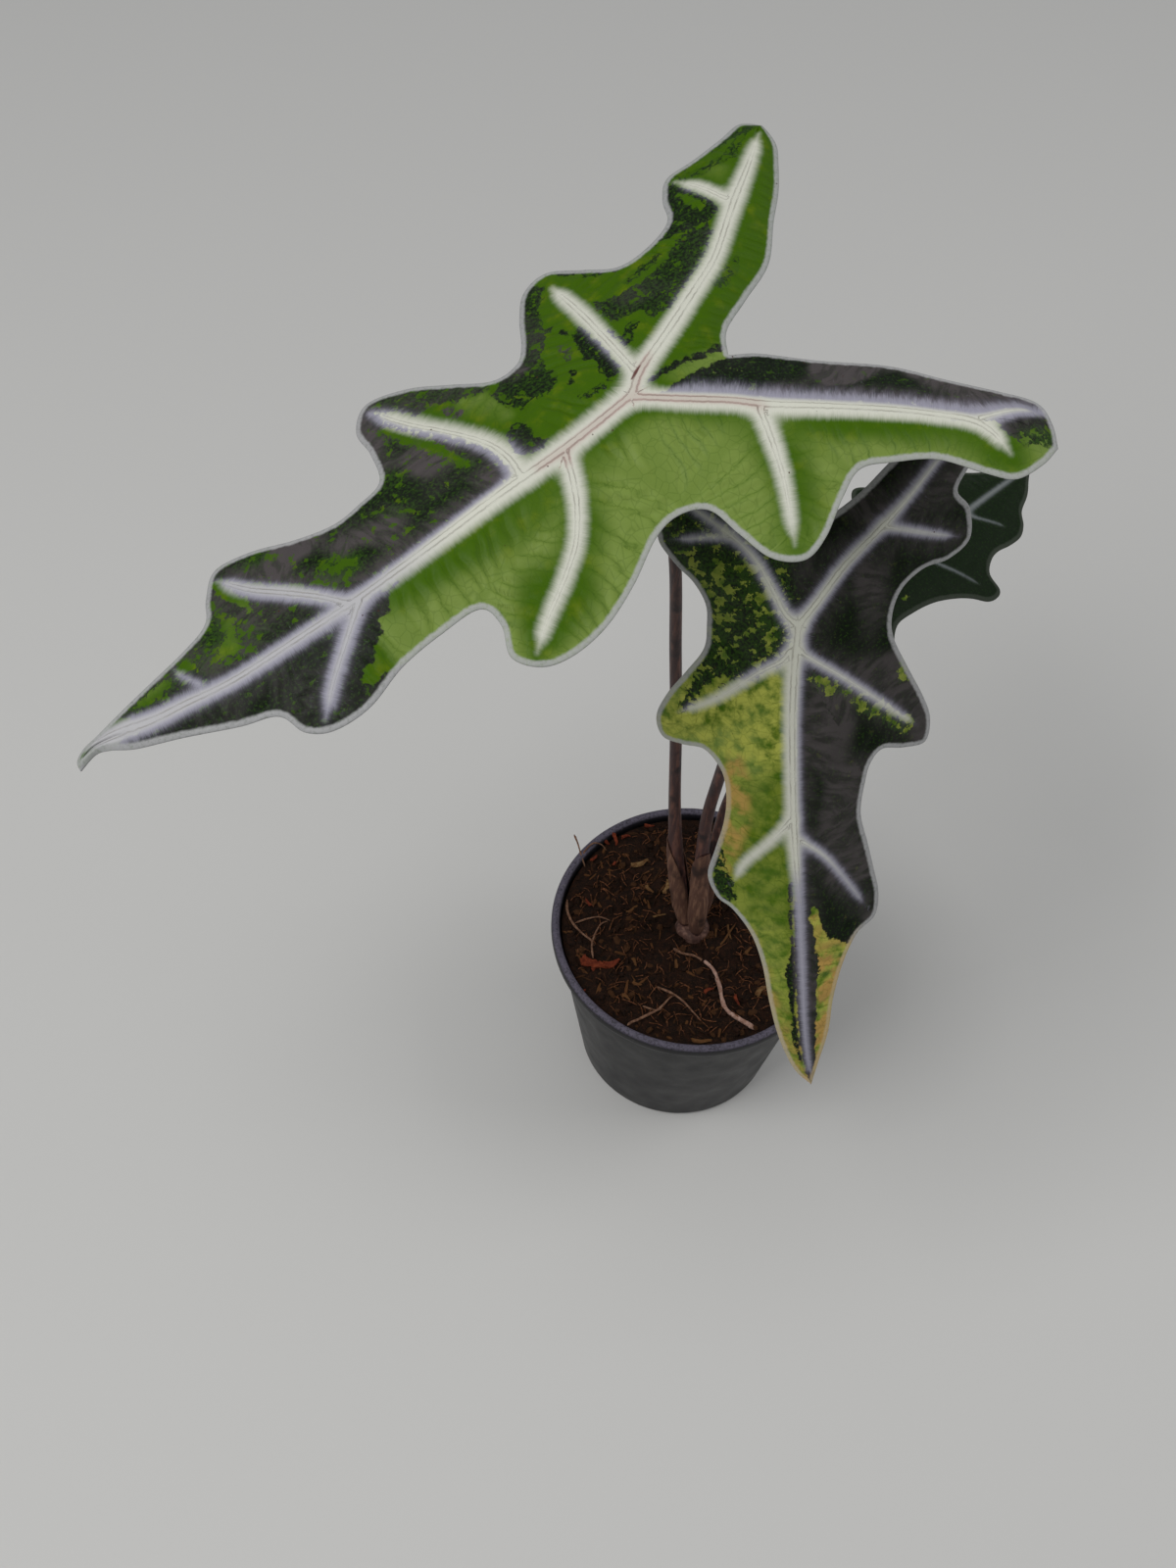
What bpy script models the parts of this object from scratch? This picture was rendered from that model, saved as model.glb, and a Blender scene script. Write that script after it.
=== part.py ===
# Potted alocasia nobilis: three lobed blades on stalks in a small nursery pot
# Metres, Z up. The origin is the centre of the pot's flat base, which stands on z = 0.
import math

import bmesh
import bpy
import numpy as np
from mathutils import Matrix

for item in list(bpy.data.objects):
    bpy.data.objects.remove(item, do_unlink=True)

MM = 0.001
GAP = 0.3

# Pot, in millimetres
POT_HEIGHT = 95.0
POT_RIM_RADIUS = 60.0
POT_NECK_RADIUS = 56.6
POT_BASE_RADIUS = 43.0
POT_WALL = 1.2
POT_FLOOR = 1.8
RIM_DEPTH = 6.0
DRAIN_HOLES = 6
DRAIN_RADIUS = 4.0
DRAIN_CIRCLE = 30.0
ROUND_STEPS = 48

# Soil and the short stem standing in it
SOIL_TOP = 91.0
SOIL_MOUND = 2.0
SOIL_ROUGHNESS = 0.8
STEM_BOTTOM = 60.0
STEM_TOP = 97.0
STEM_RADIUS = 7.5
SOCKET_DEPTH = 11.0
SOCKET_CIRCLE = 3.7
STALK_FOOT_RADIUS = 2.5
STEM_PLACE_Y = -0.5
STEM_HOLE_RISE = 20.0

# Blade sheet
MARGIN_THICKNESS = 0.8
RIB_THICKNESS = 2.4
RIB_SPREAD = 3.2
RIB_TAPER = (0.25, 1.15)
BACK_REFERENCE = 0.5
FOLD_SOFTNESS = 6.0
RIDGE_ROUNDING = 8.0
SIDE_REFERENCE = 80.0
QUILT_HEIGHT = 0.9
SPINE_END_GAP = 4.0
ROWS = (0.0, 0.09, 0.26, 0.5, 0.76, 1.0)
COLUMN_SPACING = 7.5

partColl = bpy.data.collections.new("potted_alocasia_nobilis")
cutColl = bpy.data.collections.new("cutters")
bpy.context.scene.collection.children.link(partColl)
bpy.context.scene.collection.children.link(cutColl)


def makeMaterial(name, colour, roughness):
    mat = bpy.data.materials.new(name)
    mat.use_nodes = True
    shader = mat.node_tree.nodes["Principled BSDF"]
    shader.inputs["Base Color"].default_value = (*colour, 1.0)
    shader.inputs["Roughness"].default_value = roughness
    return mat


def addObject(name, bm, mat, coll=partColl):
    mesh = bpy.data.meshes.new(name)
    bm.to_mesh(mesh)
    bm.free()
    obj = bpy.data.objects.new(name, mesh)
    coll.objects.link(obj)
    if mat is not None:
        mesh.materials.append(mat)
    if coll is cutColl:
        obj.hide_render = True
        obj.display_type = "WIRE"
    return obj


def applyModifiers(obj):
    graph = bpy.context.evaluated_depsgraph_get()
    mesh = bpy.data.meshes.new_from_object(obj.evaluated_get(graph))
    old = obj.data
    obj.modifiers.clear()
    obj.data = mesh
    mesh.name = obj.name
    if old.users == 0 and isinstance(old, bpy.types.Mesh):
        bpy.data.meshes.remove(old)


def cleanMesh(obj, distance=0.01):
    bm = bmesh.new()
    bm.from_mesh(obj.data)
    bmesh.ops.remove_doubles(bm, verts=bm.verts, dist=distance * MM)
    bmesh.ops.recalc_face_normals(bm, faces=bm.faces)
    bm.to_mesh(obj.data)
    bm.free()


def shadeSmooth(obj, angle):
    bm = bmesh.new()
    bm.from_mesh(obj.data)
    for face in bm.faces:
        face.smooth = True
    for edge in bm.edges:
        edge.smooth = edge.calc_face_angle(math.pi) < math.radians(angle)
    bm.to_mesh(obj.data)
    bm.free()


def lathe(name, profile, mat, steps=ROUND_STEPS):
    """profile is a list of (radius, height) in millimetres, outward faces to its right"""
    bm = bmesh.new()
    verts = [bm.verts.new((radius * MM, 0.0, height * MM)) for radius, height in profile]
    for first, second in zip(verts, verts[1:]):
        bm.edges.new((first, second))
    obj = addObject(name, bm, mat)
    screw = obj.modifiers.new("Screw", "SCREW")
    screw.axis = "Z"
    screw.steps = steps
    screw.render_steps = steps
    screw.use_merge_vertices = True
    screw.merge_threshold = 0.00001
    applyModifiers(obj)
    cleanMesh(obj)
    return obj


def cylinderCutter(name, places, radius, bottom, top, segments=20):
    bm = bmesh.new()
    for x, y in places:
        middle = Matrix.Translation((x * MM, y * MM, (bottom + top) * 0.5 * MM))
        bmesh.ops.create_cone(
            bm, cap_ends=True, segments=segments, radius1=radius * MM, radius2=radius * MM,
            depth=(top - bottom) * MM, matrix=middle)
    return addObject(name, bm, None, cutColl)


def subtract(obj, cutter):
    cut = obj.modifiers.new("Cut", "BOOLEAN")
    cut.operation = "DIFFERENCE"
    cut.solver = "EXACT"
    cut.object = cutter
    applyModifiers(obj)


def ringPlaces(count, radius, turn=0.0):
    angles = [math.radians(turn + 360.0 * i / count) for i in range(count)]
    return [(radius * math.cos(a), radius * math.sin(a)) for a in angles]


def smoothPath(points, perSpan):
    """Catmull-Rom curve through rows of any width"""
    pts = np.array(points, dtype=float)
    pts = np.vstack([2 * pts[0] - pts[1], pts, 2 * pts[-1] - pts[-2]])
    out = []
    for i in range(1, len(pts) - 2):
        for t in np.linspace(0.0, 1.0, perSpan, endpoint=False):
            a, b, c, d = pts[i - 1], pts[i], pts[i + 1], pts[i + 2]
            out.append(0.5 * (2 * b + (c - a) * t + (2 * a - 5 * b + 4 * c - d) * t * t
                              + (3 * b - a - 3 * c + d) * t ** 3))
    out.append(pts[-2])
    return np.array(out)


def tubeMesh(name, path, bevelResolution):
    """path rows are x, y, z, radius in millimetres; returns a capped tube as a mesh"""
    curve = bpy.data.curves.new(name, "CURVE")
    curve.dimensions = "3D"
    curve.bevel_depth = MM
    curve.bevel_resolution = bevelResolution
    curve.use_fill_caps = True
    spline = curve.splines.new("POLY")
    spline.points.add(len(path) - 1)
    for point, row in zip(spline.points, path):
        point.co = (row[0] * MM, row[1] * MM, row[2] * MM, 1.0)
        point.radius = row[3]
    holder = bpy.data.objects.new(name, curve)
    partColl.objects.link(holder)
    graph = bpy.context.evaluated_depsgraph_get()
    mesh = bpy.data.meshes.new_from_object(holder.evaluated_get(graph))
    bpy.data.objects.remove(holder, do_unlink=True)
    bpy.data.curves.remove(curve)
    return mesh


def tubeObject(name, path, mat, bevelResolution):
    mesh = tubeMesh(name, path, bevelResolution)
    mesh.name = name
    mesh.materials.clear()
    mesh.materials.append(mat)
    obj = bpy.data.objects.new(name, mesh)
    partColl.objects.link(obj)
    cleanMesh(obj)
    return obj


def potInnerRadius(height):
    share = (height - POT_FLOOR) / (POT_HEIGHT - RIM_DEPTH - POT_FLOOR)
    return POT_BASE_RADIUS - POT_WALL + (POT_NECK_RADIUS - POT_BASE_RADIUS) * share


# Pot shell with a rolled rim and drain holes in the floor
potPlastic = makeMaterial("pot_plastic", (0.014, 0.014, 0.016), 0.5)
rimBottom = POT_HEIGHT - RIM_DEPTH
neck = POT_NECK_RADIUS
pot = lathe("pot", [
    (0.0, POT_FLOOR),
    (potInnerRadius(POT_FLOOR), POT_FLOOR),
    (potInnerRadius(rimBottom), rimBottom),
    (neck - 0.6, rimBottom + 1.5),
    (neck - 0.2, POT_HEIGHT - 1.2),
    (neck + 0.9, POT_HEIGHT - 0.1),
    (POT_RIM_RADIUS - 1.6, POT_HEIGHT),
    (POT_RIM_RADIUS - 0.4, POT_HEIGHT - 0.7),
    (POT_RIM_RADIUS, POT_HEIGHT - 2.0),
    (POT_RIM_RADIUS - 0.3, rimBottom + 0.6),
    (POT_RIM_RADIUS - 1.0, rimBottom - 0.2),
    (neck, rimBottom - 0.4),
    (POT_BASE_RADIUS, 2.0),
    (POT_BASE_RADIUS - 2.0, 0.0),
    (0.0, 0.0),
], potPlastic)
drains = cylinderCutter("drain_cutters", ringPlaces(DRAIN_HOLES, DRAIN_CIRCLE, 15.0), DRAIN_RADIUS,
                        -2.0, POT_FLOOR + 2.0, 16)
subtract(pot, drains)
cleanMesh(pot)
shadeSmooth(pot, 35.0)


# Soil: a plug that fills the pot, its top uneven, with chips and loose roots fused into it
soilMix = makeMaterial("soil_mix", (0.035, 0.018, 0.010), 0.95)


def soilHeight(x, y):
    spread = math.hypot(x, y) / POT_NECK_RADIUS
    rough = math.sin(0.31 * x + 1.0) * math.cos(0.27 * y) + 0.6 * math.sin(0.53 * y - 0.19 * x + 2.0)
    return SOIL_TOP + SOIL_MOUND * (1.0 - spread * spread) + SOIL_ROUGHNESS * rough * (1.0 - spread ** 4)


soilEdge = potInnerRadius(SOIL_TOP) - GAP
soilRings = [(soilEdge * i / 9.0, SOIL_TOP) for i in range(9, -1, -1)]
soil = lathe("soil", [
    (0.0, POT_FLOOR + GAP),
    (potInnerRadius(POT_FLOOR) - GAP, POT_FLOOR + GAP),
] + soilRings, soilMix)
for vert in soil.data.vertices:
    if vert.co.z > (SOIL_TOP - 1.0) * MM:
        x, y = vert.co.x / MM, vert.co.y / MM
        vert.co.z = (soilHeight(x, y) if math.hypot(x, y) < soilEdge - 0.1 else SOIL_TOP) * MM

# Strands of root: x, y and height above the soil in millimetres, thickest in the middle
ROOTS = {
    "front_root": (1.0, [(7, -13.5, -1.5), (13, -21.5, 0.6), (17, -29.5, 0.5), (24, -35.5, 0.8), (33, -41.5, -1.5)]),
    "left_root": (0.9, [(-49, 8.5, -1.5), (-46, 0.5, 0.6), (-39, -5.5, 0.9), (-37, -15.5, -1.5)]),
    "low_root": (0.8, [(-27, -44.5, -1.5), (-14, -38.5, 0.6), (-7, -33.5, -1.5)]),
    "cross_root": (0.8, [(-17, -27.5, -1.5), (-7, -33.5, 1.4), (5, -37.5, -1.5)]),
}
# Chips: x, y, half sizes, turn and tilt
CHIPS = [
    (-39, -16.5, 8.0, 3.2, 1.6, 10, 6), (1, -52, 3.6, 1.6, 1.0, 15, 0), (21, -0.5, 5.0, 0.9, 0.9, 60, 9),
    (26, -7.5, 4.4, 0.9, 0.8, 100, -6), (-24, 29.5, 4.2, 2.2, 1.4, 30, 5), (-31, 24.5, 3.4, 1.9, 1.3, -20, 8),
    (30, -27.5, 3.2, 2.2, 1.3, 45, 5), (-12, 18.5, 3.4, 2.0, 1.2, 80, -5), (14, 30.5, 3.8, 2.0, 1.3, -35, 6),
    (38, 10.5, 3.6, 1.8, 1.2, 20, 4), (-25, -11.5, 3.4, 1.6, 1.2, -50, 8), (-20, -25.5, 2.8, 2.2, 1.2, 25, 6),
]
fuseColl = bpy.data.collections.new("fused_bits")
bpy.context.scene.collection.children.link(fuseColl)
for name, (radius, points) in ROOTS.items():
    rows = [(x, y, soilHeight(x, y) + lift, radius) for x, y, lift in points]
    strand = bpy.data.objects.new(name, tubeMesh(name, smoothPath(rows, 3), 0))
    fuseColl.objects.link(strand)
    cleanMesh(strand)
for index, (x, y, halfX, halfY, halfZ, turn, tilt) in enumerate(CHIPS):
    bm = bmesh.new()
    place = (Matrix.Translation((x * MM, y * MM, soilHeight(x, y) * MM))
             @ Matrix.Rotation(math.radians(turn), 4, "Z") @ Matrix.Rotation(math.radians(tilt), 4, "Y")
             @ Matrix.Diagonal((2 * halfX * MM, 2 * halfY * MM, 2 * halfZ * MM, 1.0)))
    bmesh.ops.create_cube(bm, size=1.0, matrix=place)
    bmesh.ops.bevel(bm, geom=[e for e in bm.edges if abs(e.verts[0].co.z - e.verts[1].co.z) < 0.6 * halfZ * MM
                              and max(v.co.z for v in e.verts) > soilHeight(x, y) * MM],
                    offset=0.5 * halfZ * MM, offset_type="OFFSET", segments=1, profile=0.5, affect="EDGES",
                    material=-1)
    addObject("chip_%02d" % index, bm, None, fuseColl)
join = soil.modifiers.new("Fuse", "BOOLEAN")
join.operation = "UNION"
join.operand_type = "COLLECTION"
join.collection = fuseColl
join.solver = "EXACT"
applyModifiers(soil)
for bit in list(fuseColl.objects):
    bpy.data.objects.remove(bit, do_unlink=True)
bpy.data.collections.remove(fuseColl)
stemHole = cylinderCutter("stem_hole_cutter", [(0.0, STEM_PLACE_Y)], STEM_RADIUS + GAP, STEM_BOTTOM,
                          SOIL_TOP + STEM_HOLE_RISE, 32)
subtract(soil, stemHole)
cleanMesh(soil)
soil.data.materials.clear()
soil.data.materials.append(soilMix)
shadeSmooth(soil, 40.0)


# Short stem with a socket for each stalk
stemSkin = makeMaterial("stem_skin", (0.085, 0.040, 0.028), 0.7)
stem = lathe("stem_base", [
    (0.0, STEM_BOTTOM + GAP),
    (STEM_RADIUS - 1.5, STEM_BOTTOM + GAP),
    (STEM_RADIUS, STEM_BOTTOM + 3.0),
    (STEM_RADIUS, STEM_TOP - 7.0),
    (STEM_RADIUS - 0.4, STEM_TOP - 2.0),
    (STEM_RADIUS - 1.0, STEM_TOP),
    (0.0, STEM_TOP),
], stemSkin, 32)
for vert in stem.data.vertices:
    vert.co.y += STEM_PLACE_Y * MM
SOCKET_ANGLES = {"large": 172.0, "front": 292.0, "small": 52.0}
footPlaces = {}
for key, angle in SOCKET_ANGLES.items():
    footPlaces[key] = (SOCKET_CIRCLE * math.cos(math.radians(angle)),
                       SOCKET_CIRCLE * math.sin(math.radians(angle)) + STEM_PLACE_Y)
sockets = cylinderCutter("socket_cutters", list(footPlaces.values()), STALK_FOOT_RADIUS + GAP,
                         STEM_TOP - SOCKET_DEPTH, STEM_TOP + 5.0)
subtract(stem, sockets)
cleanMesh(stem)
shadeSmooth(stem, 40.0)


# Leaves. Each is drawn flat in its own plane: x from the stalk joint towards the tip, y across.
# The spine is the midrib's line. The outer margins run from the back lobe's tip round to the leaf's
# tip, the inner ones from the back lobe's tip to the notch. links pair a margin point with the place
# on the ribs that its vein leaves.
LEAVES = {
    "large": {
        "length": 197.0, "place": (-46.3, -14.0, 420.0), "turn": (-143.4, 8.65, -2.3),
        "roof": (0.33, 0.33), "sideDroop": 0.03, "droop": (0.32, 0.16),
        "spine": [(0, 0), (26, 3.8), (50, 5.8), (75, 8), (101, 9.6), (120, 9), (140, 8), (150, 6.6),
                  (160, 4.5), (175, 1.2), (183, -2), (189, -4), (193.5, -4), (197.5, -0.3)],
        "costae": {1: ((-40, 31), (-92, 68)), -1: ((-42, -26), (-96, -72))},
        "outer": {
            1: [(-99.5, 80.5), (-92, 83), (-82, 83), (-75, 77), (-65, 66), (-54, 60), (-44, 56), (-35, 60),
                (-24, 67), (-15, 69), (-7, 63), (-3, 52), (0.5, 41.5), (9, 38), (18.5, 40), (32, 48),
                (46, 54), (59, 56), (69, 54), (75, 47), (72, 38), (74.5, 31), (88, 31), (102.5, 32.5),
                (117, 36.5), (129.5, 36), (137, 31.5), (140.5, 23.5), (151.5, 19), (167, 11.2), (180, 5),
                (187, 0), (191.5, -1.8), (197.5, -0.3)],
            -1: [(-99.5, -73.5), (-94, -79), (-85, -77), (-73, -75), (-62, -74), (-55, -66), (-50, -56),
                 (-39, -51), (-28, -51), (-20, -59), (-11, -68), (-1, -66), (6.5, -56.5), (13, -44.5),
                 (18.5, -38.5), (27.5, -38.5), (38, -48.5), (49, -58.5), (62.5, -63.5), (71, -54.5),
                 (72, -42), (75.5, -28), (85, -24.5), (95, -23.5), (107.5, -28), (120.5, -35),
                 (133, -37.5), (140, -28.5), (144, -19.5), (153.5, -15), (172, -10.8), (187, -7),
                 (193.5, -6), (197.2, -3.8), (197.5, -0.3)],
        },
        "inner": {
            1: [(-99.5, 80.5), (-103.5, 72.5), (-105, 64), (-98.5, 55.5), (-87, 42), (-76, 28),
                (-59, 15.5), (-45, 4), (-35, 0)],
            -1: [(-99.5, -73.5), (-99, -65), (-95, -58), (-88, -48), (-79, -38), (-67.5, -24.5),
                 (-52.5, -15.5), (-40, -8), (-35, 0)],
        },
        "links": {1: [(9, -40), (13, 5), (18, 27), (21, 62), (25, 100), (28, 130)],
                  -1: [(10, -8), (14, 12), (18, 42), (22, 68), (26, 106), (29, 136)]},
    },
    "front": {
        "length": 186.0, "place": (13.4, -35.3, 345.0), "turn": (-72.7, 59.1, 10.7),
        "roof": (0.36, 0.5), "sideDroop": 0.2, "droop": (0.15, 0.25),
        "spine": [(0, 0), (16, -1.2), (38, -2.5), (70, -3), (103, -2.6), (130, -2), (160, -1.5), (186, 0)],
        "costae": {1: ((-22, 19), (-57, 54)), -1: ((-24, -14), (-46, -41))},
        "outer": {
            1: [(-62, 60), (-54, 62), (-46, 58), (-38, 54), (-31, 59), (-19.5, 60), (-13.5, 52.5),
                (-12, 43.5), (-6.5, 36), (2, 32.5), (11.5, 33), (25, 39), (37.5, 45), (47, 48), (55.5, 46),
                (55, 37), (53, 29), (57, 24.5), (63, 22.5), (75, 20.5), (88, 23), (100.5, 25.5), (110, 27),
                (119, 25.5), (124, 18.5), (134.5, 13), (149, 9), (163, 7), (176, 3), (186, 0)],
            -1: [(-50, -47), (-45, -49), (-40, -47), (-34, -44), (-28, -43), (-20, -38), (-14, -33),
                 (-6, -29.5), (2, -29.5), (11, -31), (20.5, -37.5), (30.5, -45), (40, -49.5),
                 (47.5, -47.5), (49, -40), (49.5, -32.5), (57, -27), (67, -26), (77.5, -27.5), (89, -31),
                 (100, -34), (108.5, -31), (112.5, -25.5), (121.5, -19.5), (134, -16), (150, -14),
                 (166, -11), (179.5, -6), (186, 0)],
        },
        "inner": {
            1: [(-62, 60), (-65, 53), (-60, 44), (-50, 32), (-41, 22), (-34, 12), (-26, 0)],
            -1: [(-50, -47), (-53, -41), (-48, -31), (-40, -20), (-32, -10), (-26, 0)],
        },
        "links": {1: [(5, -42), (9, 0), (14, 10), (18, 46), (23, 78), (26, 112)],
                  -1: [(4, -38), (8, 2), (13, 12), (17, 46), (21, 75), (24, 112)]},
    },
    "small": {
        "length": 118.0, "place": (56.4, 68.6, 250.0), "turn": (53.4, 10.7, 7.2),
        "roof": (0.15, 0.15), "sideDroop": 0.1, "droop": (0.13, 0.2),
        "spine": [(0, 0), (62, 0), (118, 0)],
        "costae": {1: ((-22, 17), (-47, 40)), -1: ((-25, -17), (-53, -42))},
        "outer": {
            1: [(-52, 44), (-45, 46), (-36, 41), (-27, 34), (-19, 33), (-9, 37), (-2, 35), (4, 27),
                (12, 24), (21, 26), (29, 34), (37, 39), (43, 36), (46, 28), (52, 22), (62, 21), (72, 23),
                (79, 22), (85, 17), (92, 12), (103, 7), (118, 0)],
            -1: [(-58, -47), (-50, -49), (-40, -43), (-31, -33), (-24, -24), (-14, -18), (-3, -18),
                 (10, -20), (21, -24), (28, -28), (34, -33), (40, -34), (44, -32), (46, -25), (53, -21),
                 (60, -20), (68, -21), (77, -21), (84, -18), (90, -13), (101, -9), (110, -4), (118, 0)],
        },
        "inner": {
            1: [(-52, 44), (-54, 37), (-46, 28), (-37, 18), (-27, 9), (-20, 0)],
            -1: [(-58, -47), (-59, -40), (-49, -28), (-38, -17), (-28, -8), (-20, 0)],
        },
        "links": {1: [(5, -20), (8, 4), (11, 22), (15, 40), (17, 62), (19, 78)],
                  -1: [(4, -24), (7, 6), (11, 24), (15, 40), (17, 63), (19, 78)]},
    },
}


def costaLine(middle, end, count=12):
    t = np.linspace(0.0, 1.0, count)[:, None]
    return 2 * t * (1 - t) * np.array(middle, float) + t ** 2 * np.array(end, float)


def lineDistance(points, line):
    start, step = line[:-1], line[1:] - line[:-1]
    rel = points[:, None, :] - start
    share = np.clip((rel * step).sum(-1) / (step ** 2).sum(-1), 0.0, 1.0)
    near = start + share[..., None] * step
    return np.linalg.norm(points[:, None, :] - near, axis=-1).min(axis=1)


def bendDown(along, height, angle, length):
    turn = angle / length * np.abs(along)
    radius = length / angle
    return np.sign(along) * (radius + height) * np.sin(turn), (radius + height) * np.cos(turn) - radius


def leafRotation(leaf):
    heading, dip, roll = (math.radians(a) for a in leaf["turn"])
    return np.array(Matrix.Rotation(heading, 3, "Z") @ Matrix.Rotation(dip, 3, "Y")
                    @ Matrix.Rotation(roll, 3, "X"))


def ribLines(leaf):
    return [smoothPath(leaf["spine"], 4)] + [costaLine(*leaf["costae"][side]) for side in (1, -1)]


def spineSide(leaf, x):
    spine = smoothPath(leaf["spine"], 4)
    return np.interp(x, spine[:, 0], spine[:, 1])


def leafForm(leaf, flat, quilt):
    """flat is rows of x, y; quilt rows swell the sheet between its veins. Returns world millimetres."""
    ribs = ribLines(leaf)
    away = np.stack([lineDistance(flat, rib) for rib in ribs], axis=-1)
    nearest = away.min(axis=-1)
    soft = nearest - FOLD_SOFTNESS * np.log(np.exp(-(away - nearest[:, None]) / FOLD_SOFTNESS).sum(axis=-1))
    soft = np.maximum(soft + FOLD_SOFTNESS * math.log(3.0), 0.0)
    slope = np.where(flat[:, 1] >= spineSide(leaf, flat[:, 0]), leaf["roof"][0], leaf["roof"][1])
    height = -slope * (np.sqrt(soft ** 2 + RIDGE_ROUNDING ** 2) - RIDGE_ROUNDING) + quilt
    across, height = bendDown(flat[:, 1], height, leaf["sideDroop"], SIDE_REFERENCE)
    fore = bendDown(flat[:, 0], height, leaf["droop"][0], leaf["length"])
    back = bendDown(flat[:, 0], height, leaf["droop"][1], leaf["length"] * BACK_REFERENCE)
    ahead = flat[:, 0] >= 0
    local = np.stack([np.where(ahead, fore[0], back[0]), across, np.where(ahead, fore[1], back[1])], axis=-1)
    return np.array(leaf["place"]) + local @ leafRotation(leaf).T


def lineLength(line):
    return np.concatenate([[0.0], np.cumsum(np.linalg.norm(np.diff(line, axis=0), axis=1))])


def pointOn(line, distance):
    lengths = lineLength(line)
    return np.stack([np.interp(distance, lengths, line[:, k]) for k in (0, 1)], axis=-1)


def stations(start, end, tracks):
    """Places along the ribs, closer together where a margin runs long beside them"""
    fine = np.linspace(start, end, 240)
    cost = np.maximum.reduce([np.diff(fine)] + [np.abs(np.diff(track(fine))) for track in tracks])
    total = np.concatenate([[0.0], np.cumsum(cost)])
    count = max(4, round(total[-1] / COLUMN_SPACING))
    return np.interp(np.linspace(0.0, total[-1], count + 1), total, fine)


def sheetPatches(leaf):
    """Four grids of flat points: for each, the row on the ribs and the row on the margin"""
    tip = leaf["length"] - SPINE_END_GAP
    margins, tracks, costae = {}, {}, {}
    for side in (1, -1):
        costae[side] = costaLine(*leaf["costae"][side], count=24)
        costaLength = lineLength(costae[side])[-1]
        margins[side] = smoothPath(leaf["outer"][side], 8)
        lengths = lineLength(margins[side])
        links = [(0, -costaLength)] + leaf["links"][side] + [(len(leaf["outer"][side]) - 1, tip)]
        places = [place for _, place in links]
        runs = [lengths[index * 8] for index, _ in links]
        tracks[side] = lambda s, places=places, runs=runs: np.interp(s, places, runs)
    middle = stations(0.0, tip, [tracks[1], tracks[-1]])
    patches = []
    for side in (1, -1):
        costa, margin = costae[side], margins[side]
        costaLength = lineLength(costa)[-1]
        inside = smoothPath(leaf["inner"][side], 8)
        insideLength = lineLength(inside)[-1]
        back = stations(-costaLength, 0.0, [tracks[side], lambda s: insideLength * (1.0 + s / costaLength)])
        costaRow = pointOn(costa, -back)
        middleRow = np.stack([middle[1:], spineSide(leaf, middle[1:])], axis=-1)
        outerEdge = pointOn(margin, tracks[side](np.concatenate([back, middle[1:]])))
        patches.append((np.vstack([costaRow, middleRow]), outerEdge))
        patches.append((costaRow, pointOn(inside, insideLength * (1.0 + back / costaLength))))
    return patches


def bladeSheet(leaf):
    bm = bmesh.new()
    ribness = []
    rows = np.array(ROWS)
    for rib, edge in sheetPatches(leaf):
        count = len(rib) - 1
        grid = bmesh.ops.create_grid(bm, x_segments=count, y_segments=len(rows) - 1, size=1.0)["verts"]
        across = [round((v.co.x + 1.0) * 0.5 * count) for v in grid]
        down = [round((v.co.y + 1.0) * 0.5 * (len(rows) - 1)) for v in grid]
        share = rows[down][:, None]
        flat = rib[across] * (1.0 - share) + edge[across] * share
        swell = QUILT_HEIGHT * np.sin(math.pi * share[:, 0]) ** 2
        world = leafForm(leaf, flat, swell) * MM
        for vert, spot in zip(grid, world):
            vert.co = spot
        away = np.stack([lineDistance(flat, line) for line in ribLines(leaf)], axis=-1).min(axis=-1)
        taper = np.clip(RIB_TAPER[1] - np.linalg.norm(flat, axis=1) / leaf["length"], RIB_TAPER[0], 1.0)
        thin = MARGIN_THICKNESS / RIB_THICKNESS
        ribness += list(thin + (1.0 - thin) * taper * np.exp(-(away / RIB_SPREAD) ** 2))
    layer = bm.verts.layers.float.new("rib")
    for vert, value in zip(bm.verts, ribness):
        vert[layer] = value
    bmesh.ops.remove_doubles(bm, verts=bm.verts, dist=0.05 * MM)
    bmesh.ops.triangulate(bm, faces=bm.faces, quad_method="SHORT_EDGE")
    bmesh.ops.recalc_face_normals(bm, faces=bm.faces)
    bm.normal_update()
    upward = np.sum([np.array(f.normal) * f.calc_area() for f in bm.faces], axis=0)
    if upward @ leafRotation(leaf)[:, 2] < 0:
        bmesh.ops.reverse_faces(bm, faces=bm.faces)
    return bm


leafGreen = {
    "large": makeMaterial("blade_large_green", (0.110, 0.260, 0.035), 0.4),
    "front": makeMaterial("blade_front_green", (0.130, 0.190, 0.040), 0.4),
    "small": makeMaterial("blade_small_green", (0.014, 0.045, 0.014), 0.4),
}
for key, leaf in LEAVES.items():
    blade = addObject("blade_" + key, bladeSheet(leaf), leafGreen[key])
    values = [item.value for item in blade.data.attributes["rib"].data]
    group = blade.vertex_groups.new(name="rib_thickness")
    for index, value in enumerate(values):
        group.add([index], min(1.0, value), "REPLACE")
    sheet = blade.modifiers.new("Thickness", "SOLIDIFY")
    sheet.thickness = RIB_THICKNESS * MM
    sheet.offset = -1.0
    sheet.vertex_group = group.name
    sheet.use_rim = True
    sheet.use_even_offset = False
    applyModifiers(blade)
    blade.vertex_groups.clear()
    cleanMesh(blade, 0.002)
    shadeSmooth(blade, 60.0)


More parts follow.
